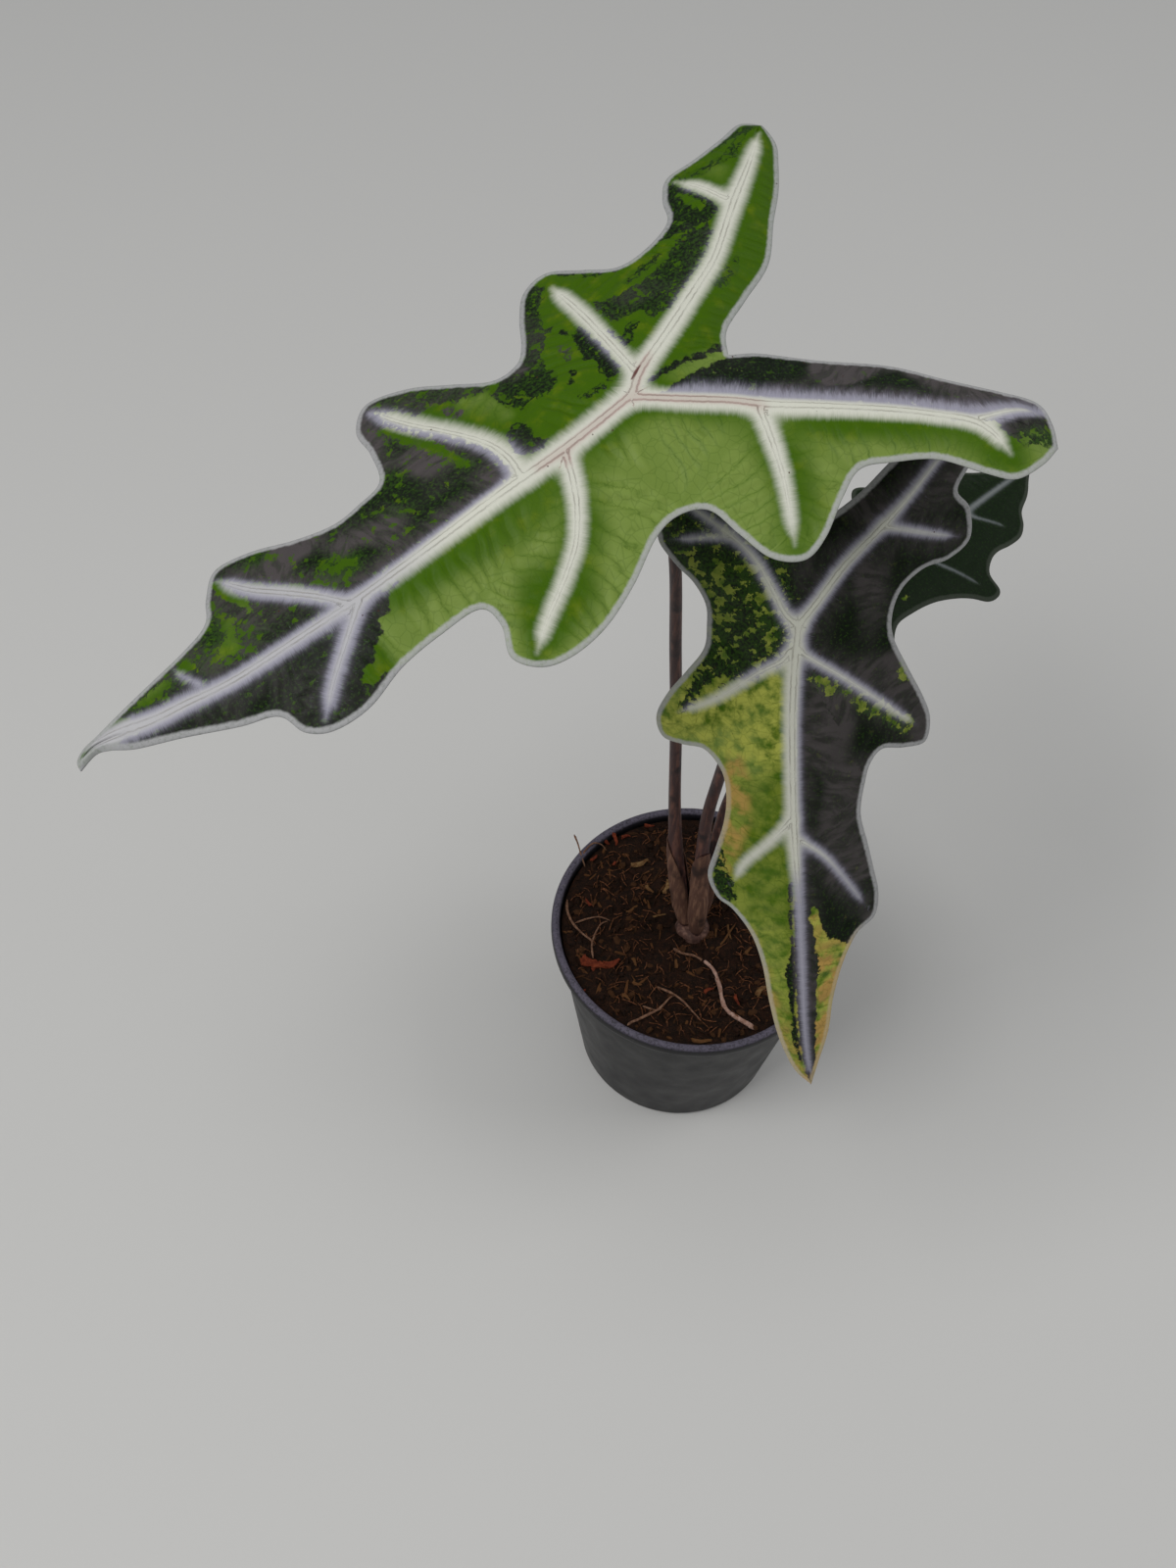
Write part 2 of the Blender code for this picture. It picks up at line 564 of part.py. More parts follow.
# Stalks: rows of x, y, z and radius, from the socket up to the underside of the blade
stalkSkin = {
    "large": makeMaterial("stalk_large_skin", (0.060, 0.030, 0.028), 0.55),
    "front": makeMaterial("stalk_front_skin", (0.060, 0.030, 0.028), 0.55),
    "small": makeMaterial("stalk_small_skin", (0.055, 0.030, 0.026), 0.55),
}
STALK_TURNS = {
    "large": [(-6.0, 2.0, 108, 3.3), (-8.5, 4.2, 122, 3.4), (-11.0, 6.5, 138, 3.1), (-14.5, 10.0, 172, 2.5),
              (-18.0, 12.0, 220, 2.35), (-22.0, 13.0, 266, 2.3), (-26.0, 10.5, 315, 2.2),
              (-32.0, 6.5, 355, 2.1), (-41.5, -3.5, 395, 2.1)],
    "front": [(0.8, -4.2, 108, 3.2), (0.2, -3.6, 122, 3.3), (-0.6, -0.6, 138, 3.0), (-1.5, 2.0, 172, 2.5),
              (0.5, -1.0, 210, 2.3), (4.0, -4.5, 260, 2.2), (8.5, -7.5, 305, 2.1), (11.0, -13.0, 331, 2.1)],
    "small": [(3.2, 4.6, 108, 3.1), (4.0, 7.0, 122, 3.1), (4.8, 11.5, 138, 2.8), (7.5, 18.5, 163, 2.3),
              (17.0, 31.0, 197, 2.0), (33.0, 48.0, 224, 1.9), (47.0, 61.0, 237, 1.8)],
}
HEAD_RADIUS = {"large": 2.5, "front": 2.4, "small": 2.1}
HEAD_GAP = 0.45
NECK_DROPS = (11.0, 6.0)
for key, leaf in LEAVES.items():
    normal = leafRotation(leaf)[:, 2]
    joint = np.array(leaf["place"])
    footX, footY = footPlaces[key]
    foot = [(footX, footY, STEM_TOP - SOCKET_DEPTH + GAP, STALK_FOOT_RADIUS),
            (footX, footY, STEM_TOP + 1.0, STALK_FOOT_RADIUS)]
    neckRadius = STALK_TURNS[key][-1][3]
    head = [(*(joint - normal * drop), neckRadius) for drop in NECK_DROPS]
    head.append((*(joint - normal * (RIB_THICKNESS + HEAD_GAP)), HEAD_RADIUS[key]))
    body = smoothPath([foot[1]] + STALK_TURNS[key] + head, 3)
    tubeObject("stalk_" + key, np.vstack([[foot[0]], body]), stalkSkin[key], 3)
    shadeSmooth(bpy.data.objects["stalk_" + key], 50.0)

for obj in partColl.objects:
    print(obj.name, sum(len(p.vertices) - 2 for p in obj.data.polygons), "triangles")
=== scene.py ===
import math
from functools import partial

import bmesh
import bpy
import numpy as np
from mathutils import Matrix, Vector


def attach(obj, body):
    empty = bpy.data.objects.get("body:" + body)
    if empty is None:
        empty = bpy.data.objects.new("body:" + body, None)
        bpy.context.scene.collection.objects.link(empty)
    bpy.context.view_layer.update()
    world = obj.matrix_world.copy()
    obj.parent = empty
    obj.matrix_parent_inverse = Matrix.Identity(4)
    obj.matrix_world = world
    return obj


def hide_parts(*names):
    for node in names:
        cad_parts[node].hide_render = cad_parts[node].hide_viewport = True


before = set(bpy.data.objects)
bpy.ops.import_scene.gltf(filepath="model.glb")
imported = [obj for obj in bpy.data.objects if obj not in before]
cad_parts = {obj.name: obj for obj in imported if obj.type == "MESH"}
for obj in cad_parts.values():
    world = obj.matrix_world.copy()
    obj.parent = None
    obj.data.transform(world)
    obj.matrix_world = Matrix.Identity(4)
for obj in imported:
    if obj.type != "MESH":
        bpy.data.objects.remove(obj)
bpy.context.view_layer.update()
scene = bpy.context.scene
mm = 0.001
print("frame loaded")


def linearColour(hexText):
    parts = [int(hexText[i:i + 2], 16) / 255.0 for i in (1, 3, 5)]
    return [p / 12.92 if p <= 0.04045 else ((p + 0.055) / 1.055) ** 2.4 for p in parts] + [1.0]


def addNode(tree, kind, inputs=(), output=0, **settings):
    # inputs by place or name: a number, a hex colour, or the output of another node
    made = tree.nodes.new("ShaderNode" + kind)
    for key, value in settings.items():
        setattr(made, key, value)
    for key, value in (inputs.items() if isinstance(inputs, dict) else enumerate(inputs)):
        if isinstance(value, bpy.types.NodeSocket):
            tree.links.new(value, made.inputs[key])
        else:
            made.inputs[key].default_value = linearColour(value) if isinstance(value, str) else value
    return made.outputs[output]


# settings that many nodes share
smooth = {"interpolation_type": "SMOOTHSTEP"}
rgba = {"output": 2, "data_type": "RGBA"}
times, fused, minus = ({"operation": kind} for kind in ("MULTIPLY", "MULTIPLY_ADD", "SUBTRACT"))


def startMaterial(name, settings):
    mat = bpy.data.materials.new(name)
    mat.use_nodes = True
    shader = mat.node_tree.nodes["Principled BSDF"]
    for key, value in settings.items():
        shader.inputs[key].default_value = linearColour(value) if isinstance(value, str) else value
    return mat, partial(addNode, mat.node_tree), shader


def linkShader(shader, looks, height, reliefSize):
    # height is multiplied by reliefSize, in mm
    tree = shader.id_data
    for key, socket in looks.items():
        tree.links.new(socket, shader.inputs[key])
    bump = addNode(tree, "Bump", {"Strength": 1.0, "Distance": reliefSize * mm, "Height": height})
    tree.links.new(bump, shader.inputs["Normal"])


def plainObject(name, bm, mats=()):
    mesh = bpy.data.meshes.new(name)
    bm.to_mesh(mesh)
    bm.free()
    obj = bpy.data.objects.new(name, mesh)
    scene.collection.objects.link(obj)
    for mat in mats:
        mesh.materials.append(mat)
    return obj


def addObject(name, bm, mats):
    obj = plainObject(name, bm, mats)
    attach(obj, "root")
    return obj


def turned(profile, steps):
    # a profile of radius and height in mm, turned about the upright axis
    bm = bmesh.new()
    verts = [bm.verts.new((radius * mm, 0, height * mm)) for radius, height in profile]
    edges = [bm.edges.new(pair) for pair in zip(verts, verts[1:])]
    bmesh.ops.spin(bm, geom=verts + edges, cent=(0, 0, 0), axis=(0, 0, 1), angle=math.tau, steps=steps,
                   use_merge=True, use_duplicate=False)
    bmesh.ops.remove_doubles(bm, verts=bm.verts, dist=0.005 * mm)
    bmesh.ops.recalc_face_normals(bm, faces=bm.faces)
    return bm


def smoothPath(points, perSpan):
    pts = np.array(points, dtype=float)
    pts = np.vstack([2 * pts[0] - pts[1], pts, 2 * pts[-1] - pts[-2]])
    out = []
    for i in range(1, len(pts) - 2):
        for t in np.linspace(0.0, 1.0, perSpan, endpoint=False):
            a, b, c, d = pts[i - 1], pts[i], pts[i + 1], pts[i + 2]
            out.append(0.5 * (2 * b + (c - a) * t + (2 * a - 5 * b + 4 * c - d) * t * t
                              + (3 * b - a - 3 * c + d) * t ** 3))
    out.append(pts[-2])
    return np.array(out)


def smoothStep(low, high, value):
    t = np.clip((value - low) / (high - low), 0.0, 1.0)
    return t * t * (3.0 - 2.0 * t)


# leaves
# Each leaf is drawn flat, in millimetres: x from the stalk joint towards the tip, y across.
# Veins are rows of x, y and half the width of their pale band. Patches are painted in order.

largeLeaf = {
    "length": 197, "place": (-46.3, -14, 420), "turn": (-143.4, 8.65, -2.3),
    "roof": (0.33, 0.33), "sideDroop": 0.03, "droop": (0.32, 0.16),
    "spine": [(0, 0), (26, 3.8), (50, 5.8), (75, 8), (101, 9.6), (120, 9), (140, 8), (150, 6.6), (160, 4.5),
        (175, 1.2), (183, -2), (189, -4), (193.5, -4), (197.5, -0.3)],
    "costae": {1: ((-40, 31), (-92, 68)), -1: ((-42, -26), (-96, -72))},
    "outer": {
        1: [(-99.5, 80.5), (-92, 83), (-82, 83), (-75, 77), (-65, 66), (-54, 60), (-44, 56), (-35, 60),
            (-24, 67), (-15, 69), (-7, 63), (-3, 52), (0.5, 41.5), (9, 38), (18.5, 40), (32, 48), (46, 54),
            (59, 56), (69, 54), (75, 47), (72, 38), (74.5, 31), (88, 31), (102.5, 32.5), (117, 36.5),
            (129.5, 36), (137, 31.5), (140.5, 23.5), (151.5, 19), (167, 11.2), (180, 5), (187, 0),
            (191.5, -1.8), (197.5, -0.3)],
        -1: [(-99.5, -73.5), (-94, -79), (-85, -77), (-73, -75), (-62, -74), (-55, -66), (-50, -56),
            (-39, -51), (-28, -51), (-20, -59), (-11, -68), (-1, -66), (6.5, -56.5), (13, -44.5),
            (18.5, -38.5), (27.5, -38.5), (38, -48.5), (49, -58.5), (62.5, -63.5), (71, -54.5), (72, -42),
            (75.5, -28), (85, -24.5), (95, -23.5), (107.5, -28), (120.5, -35), (133, -37.5), (140, -28.5),
            (144, -19.5), (153.5, -15), (172, -10.8), (187, -7), (193.5, -6), (197.2, -3.8), (197.5, -0.3)],
    },
    "inner": {
        1: [(-99.5, 80.5), (-103.5, 72.5), (-105, 64), (-98.5, 55.5), (-87, 42), (-76, 28), (-59, 15.5),
            (-45, 4), (-35, 0)],
        -1: [(-99.5, -73.5), (-99, -65), (-95, -58), (-88, -48), (-79, -38), (-67.5, -24.5), (-52.5, -15.5),
            (-40, -8), (-35, 0)],
    },
    "links": {1: [(9, -40), (13, 5), (18, 27), (21, 62), (25, 100), (28, 130)],
              -1: [(10, -8), (14, 12), (18, 42), (22, 68), (26, 106), (29, 136)]},
    "columnSpacing": 0.95, "rows": 44, "rippleSpacing": 5.2, "rippleHeight": 0.85, "fringe": 2.6,
    "scar": [(-8.2, -8.6), (-3.4, -4.9)],
    "veins": [
        [(0, 0, 3.2), (26, 3.8, 3.6), (50, 5.8, 3.4), (75, 8, 3.1), (101, 9.2, 2.9), (120, 8.8, 2.7),
         (140, 7.8, 2.7), (150, 6.4, 2.7), (160, 4, 3), (171, 1.6, 3.3), (182, -2.2, 3.6),
         (192, -4.4, 2.4)],
        [(0, 0, 3.2), (-8, -7, 3.4), (-23, -15, 3.2), (-37, -23, 2.9), (-51, -31.5, 2.7), (-63, -42, 2.7),
         (-72, -50, 2.9), (-84, -60, 2.2), (-95, -70, 1.4)],
        [(0, 1, 3), (-15, 11.5, 3.4), (-24, 18, 3.4), (-32, 25, 3.4), (-45, 34, 3.2), (-62, 46, 3),
         (-72, 54, 2.8), (-80, 61, 2.8), (-83, 67, 2.4), (-84, 76, 1.4)],
        [(42, 4, 2.8), (41, -5, 2.6), (43, -16, 2.3), (50, -30, 2.3), (57, -43, 2.4), (63, -58, 1.8)],
        [(-6, -8, 2.4), (-7, -27, 2.5), (-8, -43, 2.6), (-8.5, -60, 2)],
        [(-69, -51, 2.2), (-66, -61, 2.1), (-63, -70, 1.6)],
        [(-83, 62, 2), (-93, 64.5, 1.9), (-103, 68, 1.2)],
        [(-29, 25, 2.6), (-27, 33, 2.6), (-23, 46, 2), (-15, 64, 1.2)],
        [(27, 5, 2.6), (30, 14, 2.8), (34, 22, 2.4), (40, 30, 2.2), (49, 37, 2), (60, 44, 1.7),
         (68, 50, 1.2)],
        [(102, 10, 2.4), (112, 18, 2.1), (122, 25.5, 1.9), (130, 32, 1.6)],
        [(105, 9, 2.6), (110, 1, 2.4), (119, -10, 2.7), (127, -20, 2.5), (134, -33, 1.6)],
        [(154, 1, 0.5), (156.5, -4, 0.42), (158, -8, 0.38), (159, -13, 0.34)],
    ],
}
frontLeaf = {
    "length": 186, "place": (13.4, -35.3, 345), "turn": (-72.7, 59.1, 10.7),
    "roof": (0.36, 0.5), "sideDroop": 0.2, "droop": (0.15, 0.25),
    "spine": [(0, 0), (16, -1.2), (38, -2.5), (70, -3), (103, -2.6), (130, -2), (160, -1.5), (186, 0)],
    "costae": {1: ((-22, 19), (-57, 54)), -1: ((-24, -14), (-46, -41))},
    "outer": {
        1: [(-62, 60), (-54, 62), (-46, 58), (-38, 54), (-31, 59), (-19.5, 60), (-13.5, 52.5), (-12, 43.5),
            (-6.5, 36), (2, 32.5), (11.5, 33), (25, 39), (37.5, 45), (47, 48), (55.5, 46), (55, 37),
            (53, 29), (57, 24.5), (63, 22.5), (75, 20.5), (88, 23), (100.5, 25.5), (110, 27), (119, 25.5),
            (124, 18.5), (134.5, 13), (149, 9), (163, 7), (176, 3), (186, 0)],
        -1: [(-50, -47), (-45, -49), (-40, -47), (-34, -44), (-28, -43), (-20, -38), (-14, -33),
            (-6, -29.5), (2, -29.5), (11, -31), (20.5, -37.5), (30.5, -45), (40, -49.5), (47.5, -47.5),
            (49, -40), (49.5, -32.5), (57, -27), (67, -26), (77.5, -27.5), (89, -31), (100, -34),
            (108.5, -31), (112.5, -25.5), (121.5, -19.5), (134, -16), (150, -14), (166, -11), (179.5, -6),
            (186, 0)],
    },
    "inner": {
        1: [(-62, 60), (-65, 53), (-60, 44), (-50, 32), (-41, 22), (-34, 12), (-26, 0)],
        -1: [(-50, -47), (-53, -41), (-48, -31), (-40, -20), (-32, -10), (-26, 0)],
    },
    "links": {1: [(5, -42), (9, 0), (14, 10), (18, 46), (23, 78), (26, 112)],
              -1: [(4, -38), (8, 2), (13, 12), (17, 46), (21, 75), (24, 112)]},
    "columnSpacing": 0.95, "rows": 36, "rippleSpacing": 7, "rippleHeight": 0.6, "fringe": 2.2,
    "veins": [
        [(0, 0, 2.8), (16, -1.8, 2.9), (38, -3.2, 2.7), (70, -3.6, 2.6), (88, -3.2, 2.3), (103, -2.7, 1.6),
         (130, -2.2, 1.2), (160, -1.8, 0.8), (184, -0.3, 0.5)],
        [(0, 0, 2.8), (-8, 7, 2.6), (-19, 16, 2.5), (-31, 29, 2.3), (-40, 38, 1.8), (-49, 46, 1.4),
         (-60, 58, 0.8)],
        [(-30, 28, 1.6), (-27, 38, 1.6), (-24, 47, 1.3), (-21, 56, 0.8)],
        [(0, 0, 2.6), (-4, -4, 2.3), (-13, -8, 2), (-23, -13, 1.8), (-31, -20, 1.5), (-42, -33, 1.2),
         (-49, -44, 0.8)],
        [(-31, -20, 1.2), (-31, -30, 1.1), (-30, -40, 0.7)],
        [(9, -3, 2.2), (13, -6, 2.2), (18, -14, 1.9), (29, -28, 1.4), (37, -42, 0.9)],
        [(8, 0, 1.8), (11, 2, 1.8), (21, 14, 1.7), (35, 29, 1.5), (48, 42.5, 0.7)],
        [(71, -4, 1.9), (80, -11, 1.7), (91, -20.5, 1.4), (101, -25, 0.8)],
        [(80, -1, 1.8), (88, 7, 1.4), (101, 15, 1.1), (114, 22, 0.6)],
    ],
}
smallLeaf = {
    "length": 118, "place": (56.4, 68.6, 250), "turn": (53.4, 10.7, 7.2),
    "roof": (0.15, 0.15), "sideDroop": 0.1, "droop": (0.13, 0.2),
    "spine": [(0, 0), (62, 0), (118, 0)],
    "costae": {1: ((-22, 17), (-47, 40)), -1: ((-25, -17), (-53, -42))},
    "outer": {
        1: [(-52, 44), (-45, 46), (-36, 41), (-27, 34), (-19, 33), (-9, 37), (-2, 35), (4, 27), (12, 24),
            (21, 26), (29, 34), (37, 39), (43, 36), (46, 28), (52, 22), (62, 21), (72, 23), (79, 22),
            (85, 17), (92, 12), (103, 7), (118, 0)],
        -1: [(-58, -47), (-50, -49), (-40, -43), (-31, -33), (-24, -24), (-14, -18), (-3, -18), (10, -20),
            (21, -24), (28, -28), (34, -33), (40, -34), (44, -32), (46, -25), (53, -21), (60, -20),
            (68, -21), (77, -21), (84, -18), (90, -13), (101, -9), (110, -4), (118, 0)],
    },
    "inner": {
        1: [(-52, 44), (-54, 37), (-46, 28), (-37, 18), (-27, 9), (-20, 0)],
        -1: [(-58, -47), (-59, -40), (-49, -28), (-38, -17), (-28, -8), (-20, 0)],
    },
    "links": {1: [(5, -20), (8, 4), (11, 22), (15, 40), (17, 62), (19, 78)],
              -1: [(4, -24), (7, 6), (11, 24), (15, 40), (17, 63), (19, 78)]},
    "columnSpacing": 1, "rows": 26, "rippleSpacing": 6, "rippleHeight": 0.3, "fringe": 1.2,
    "veins": [
        [(0, 0, 2), (30, 0, 1.8), (62, 0.5, 1.6), (95, 0.5, 1.3), (116, 0, 0.7)],
        [(0, 0, 1.8), (-12, 9, 1.7), (-27, 21, 1.4), (-46, 39, 0.7)],
        [(0, 0, 1.8), (-13, -9, 1.7), (-30, -21, 1.4), (-52, -41, 0.7)],
        [(24, 0, 1.3), (27, -9, 1.1), (32, -18, 0.9), (38, -29, 0.5)],
        [(24, 0, 1.3), (27, 10, 1.1), (33, 22, 0.9), (38, 34, 0.5)],
        [(62, 0, 1.2), (66, -6, 1), (76, -17, 0.5)],
        [(62, 0, 1.2), (66, 7, 1), (76, 19, 0.5)],
        [(-20, -14, 1.1), (-17, -16.5, 0.6)],
        [(-18, 13, 1.2), (-14, 24, 0.9), (-11, 33, 0.5)],
    ],
}


def costaLine(middle, end, count=12):
    t = np.linspace(0.0, 1.0, count)[:, None]
    return 2 * t * (1 - t) * np.array(middle, float) + t ** 2 * np.array(end, float)


def lineDistance(points, line):
    start, step = line[:-1], line[1:] - line[:-1]
    best = []
    for block in np.array_split(points, max(1, len(points) * len(line) // 400000)):
        rel = block[:, None, :] - start
        share = np.clip((rel * step).sum(-1) / (step ** 2).sum(-1), 0.0, 1.0)
        best.append(np.linalg.norm(rel - share[..., None] * step, axis=-1).min(axis=1))
    return np.concatenate(best)


def bendDown(along, height, angle, length):
    turn = angle / length * np.abs(along)
    radius = length / angle
    return np.sign(along) * (radius + height) * np.sin(turn), (radius + height) * np.cos(turn) - radius


def leafRotation(leaf):
    heading, dip, roll = (math.radians(a) for a in leaf["turn"])
    return np.array(Matrix.Rotation(heading, 3, "Z") @ Matrix.Rotation(dip, 3, "Y")
                    @ Matrix.Rotation(roll, 3, "X"))


# folding of the sheet, then its thickness: at the margin, over the blade, and what bead, ribs and veins add
sheetForm = {"foldSoftness": 6.0, "ridgeRounding": 8.0, "sideReference": 80.0, "quilt": 0.9,
             "spineEndGap": 4.0, "rimRows": [2.4, 1.5, 0.95, 0.55, 0.28, 0.1, 0.0],
             "edge": 0.45, "plain": 0.75, "bead": 0.25, "rib": 1.5, "vein": 0.45, "weld": 0.012}


def leafForm(leaf, flat, quilt):
    spine = smoothPath(leaf["spine"], 6)
    ribs = [spine] + [costaLine(*leaf["costae"][side]) for side in (1, -1)]
    away = np.stack([lineDistance(flat, rib) for rib in ribs], axis=-1)
    nearest = away.min(axis=-1)
    soft = sheetForm["foldSoftness"]
    fold = nearest - soft * np.log(np.exp(-(away - nearest[:, None]) / soft).sum(axis=-1))
    fold = np.maximum(fold + soft * math.log(3.0), 0.0)
    upper = flat[:, 1] >= np.interp(flat[:, 0], spine[:, 0], spine[:, 1])
    slope = np.where(upper, leaf["roof"][0], leaf["roof"][1])
    rounding = sheetForm["ridgeRounding"]
    height = -slope * (np.sqrt(fold ** 2 + rounding ** 2) - rounding) + quilt
    across, height = bendDown(flat[:, 1], height, leaf["sideDroop"], sheetForm["sideReference"])
    fore = bendDown(flat[:, 0], height, leaf["droop"][0], leaf["length"])
    back = bendDown(flat[:, 0], height, leaf["droop"][1], leaf["length"] * 0.5)
    ahead = flat[:, 0] >= 0
    local = np.stack([np.where(ahead, fore[0], back[0]), across, np.where(ahead, fore[1], back[1])], axis=-1)
    return np.array(leaf["place"]) + local @ leafRotation(leaf).T


def lineLength(line):
    return np.concatenate([[0.0], np.cumsum(np.linalg.norm(np.diff(line, axis=0), axis=1))])


def pointOn(line, distance):
    lengths = lineLength(line)
    return np.stack([np.interp(distance, lengths, line[:, k]) for k in (0, 1)], axis=-1)


def stations(start, end, tracks, spacing):
    fine = np.linspace(start, end, 1200)
    cost = np.maximum.reduce([np.diff(fine)] + [np.abs(np.diff(track(fine))) for track in tracks])
    total = np.concatenate([[0.0], np.cumsum(cost)])
    count = max(4, round(total[-1] / spacing))
    return np.interp(np.linspace(0.0, total[-1], count + 1), total, fine)


def sheetPatches(leaf):
    # four grids of flat points: for each, the row on the ribs and the row on the margin
    spacing = leaf["columnSpacing"]
    spine = smoothPath(leaf["spine"], 6)
    tip = leaf["length"] - sheetForm["spineEndGap"]
    margins, tracks, costae = {}, {}, {}
    for side in (1, -1):
        costae[side] = costaLine(*leaf["costae"][side], count=24)
        costaLength = lineLength(costae[side])[-1]
        margins[side] = smoothPath(leaf["outer"][side], 8)
        lengths = lineLength(margins[side])
        links = [(0, -costaLength)] + leaf["links"][side] + [(len(leaf["outer"][side]) - 1, tip)]
        places = [place for _, place in links]
        runs = [lengths[index * 8] for index, _ in links]
        tracks[side] = lambda s, places=places, runs=runs: np.interp(s, places, runs)
    middle = stations(0.0, tip, [tracks[1], tracks[-1]], spacing)
    patches = []
    for side in (1, -1):
        costa, margin = costae[side], margins[side]
        costaLength = lineLength(costa)[-1]
        inside = smoothPath(leaf["inner"][side], 8)
        insideLength = lineLength(inside)[-1]
        back = stations(-costaLength, 0.0,
                        [tracks[side], lambda s: insideLength * (1.0 + s / costaLength)], spacing)
        costaRow = pointOn(costa, -back)
        middleRow = np.stack([middle[1:], np.interp(middle[1:], spine[:, 0], spine[:, 1])], axis=-1)
        outerEdge = pointOn(margin, tracks[side](np.concatenate([back, middle[1:]])))
        patches.append((np.vstack([costaRow, middleRow]), outerEdge))
        patches.append((costaRow, pointOn(inside, insideLength * (1.0 + back / costaLength))))
    return patches


def veinFields(leaf, flat):
    # nearest vein of each point: signed and plain distance, place along it, the gap to the bands, and
    # how much further off the next vein is
    starts, steps, widths, alongs, firsts, reaches = [], [], [], [], [], []
    for vein in leaf["veins"]:
        line = smoothPath(vein, 4)
        firsts.append(sum(len(s) for s in starts))
        starts.append(line[:-1, :2])
        steps.append(np.diff(line[:, :2], axis=0))
        widths.append(np.stack([line[:-1, 2], np.diff(line[:, 2])], axis=-1))
        alongs.append(lineLength(line[:, :2])[:-1])
        reaches.append(np.full(len(line) - 1, lineLength(line[:, :2])[-1]))
    reach = np.concatenate(reaches)
    start, step, width = np.vstack(starts), np.vstack(steps), np.vstack(widths)
    along, stepLength = np.concatenate(alongs), np.linalg.norm(step, axis=1)
    out = []
    for block in np.array_split(flat, max(1, len(flat) * len(start) // 400000)):
        rel = block[:, None, :] - start
        share = np.clip((rel * step).sum(-1) / stepLength ** 2, 0.0, 1.0)
        away = np.linalg.norm(rel - share[..., None] * step, axis=-1)
        gap = away - (width[:, 0] + width[:, 1] * share)
        left = reach - (along + share * stepLength)
        gap = gap + 1.9 * (1.0 - smoothStep(0.0, 7.0, left))
        byVein = np.minimum.reduceat(gap, firsts, axis=1)
        two = np.partition(byVein, 1, axis=1)
        least = two[:, 0]
        web = least - 1.1 * np.log(np.exp(-(byVein - least[:, None]) / 1.1).sum(axis=1))
        pick = gap.argmin(axis=1)
        rows = np.arange(len(block))
        side = np.sign(step[pick, 0] * rel[rows, pick, 1] - step[pick, 1] * rel[rows, pick, 0])
        out.append(np.stack([side * away[rows, pick], away[rows, pick],
                             along[pick] + share[rows, pick] * stepLength[pick], web,
                             two[:, 1] - two[:, 0]], axis=-1))
    return np.vstack(out)


def polygonDepth(flat, polygon):
    # distance to the outline, positive inside
    line = np.array(polygon + [polygon[0]], float)
    edge = lineDistance(flat, line)
    x, y = flat[:, 0], flat[:, 1]
    inside = np.zeros(len(flat), bool)
    for (ax, ay), (bx, by) in zip(line[:-1], line[1:]):
        if ay != by:
            inside ^= ((ay > y) != (by > y)) & (x < (bx - ax) * (y - ay) / (by - ay) + ax)
    return np.where(inside, edge, -edge)


def valueNoise(points, size, seed):
    table = np.random.default_rng(seed).random((128, 128))
    cell = points / size + 40.0
    low = np.floor(cell).astype(int)
    t = cell - low
    t = t * t * (3 - 2 * t)
    ix, iy = low[:, 0] % 127, low[:, 1] % 127
    top = table[ix, iy] * (1 - t[:, 0]) + table[ix + 1, iy] * t[:, 0]
    bottom = table[ix, iy + 1] * (1 - t[:, 0]) + table[ix + 1, iy + 1] * t[:, 0]
    return top * (1 - t[:, 1]) + bottom * t[:, 1]


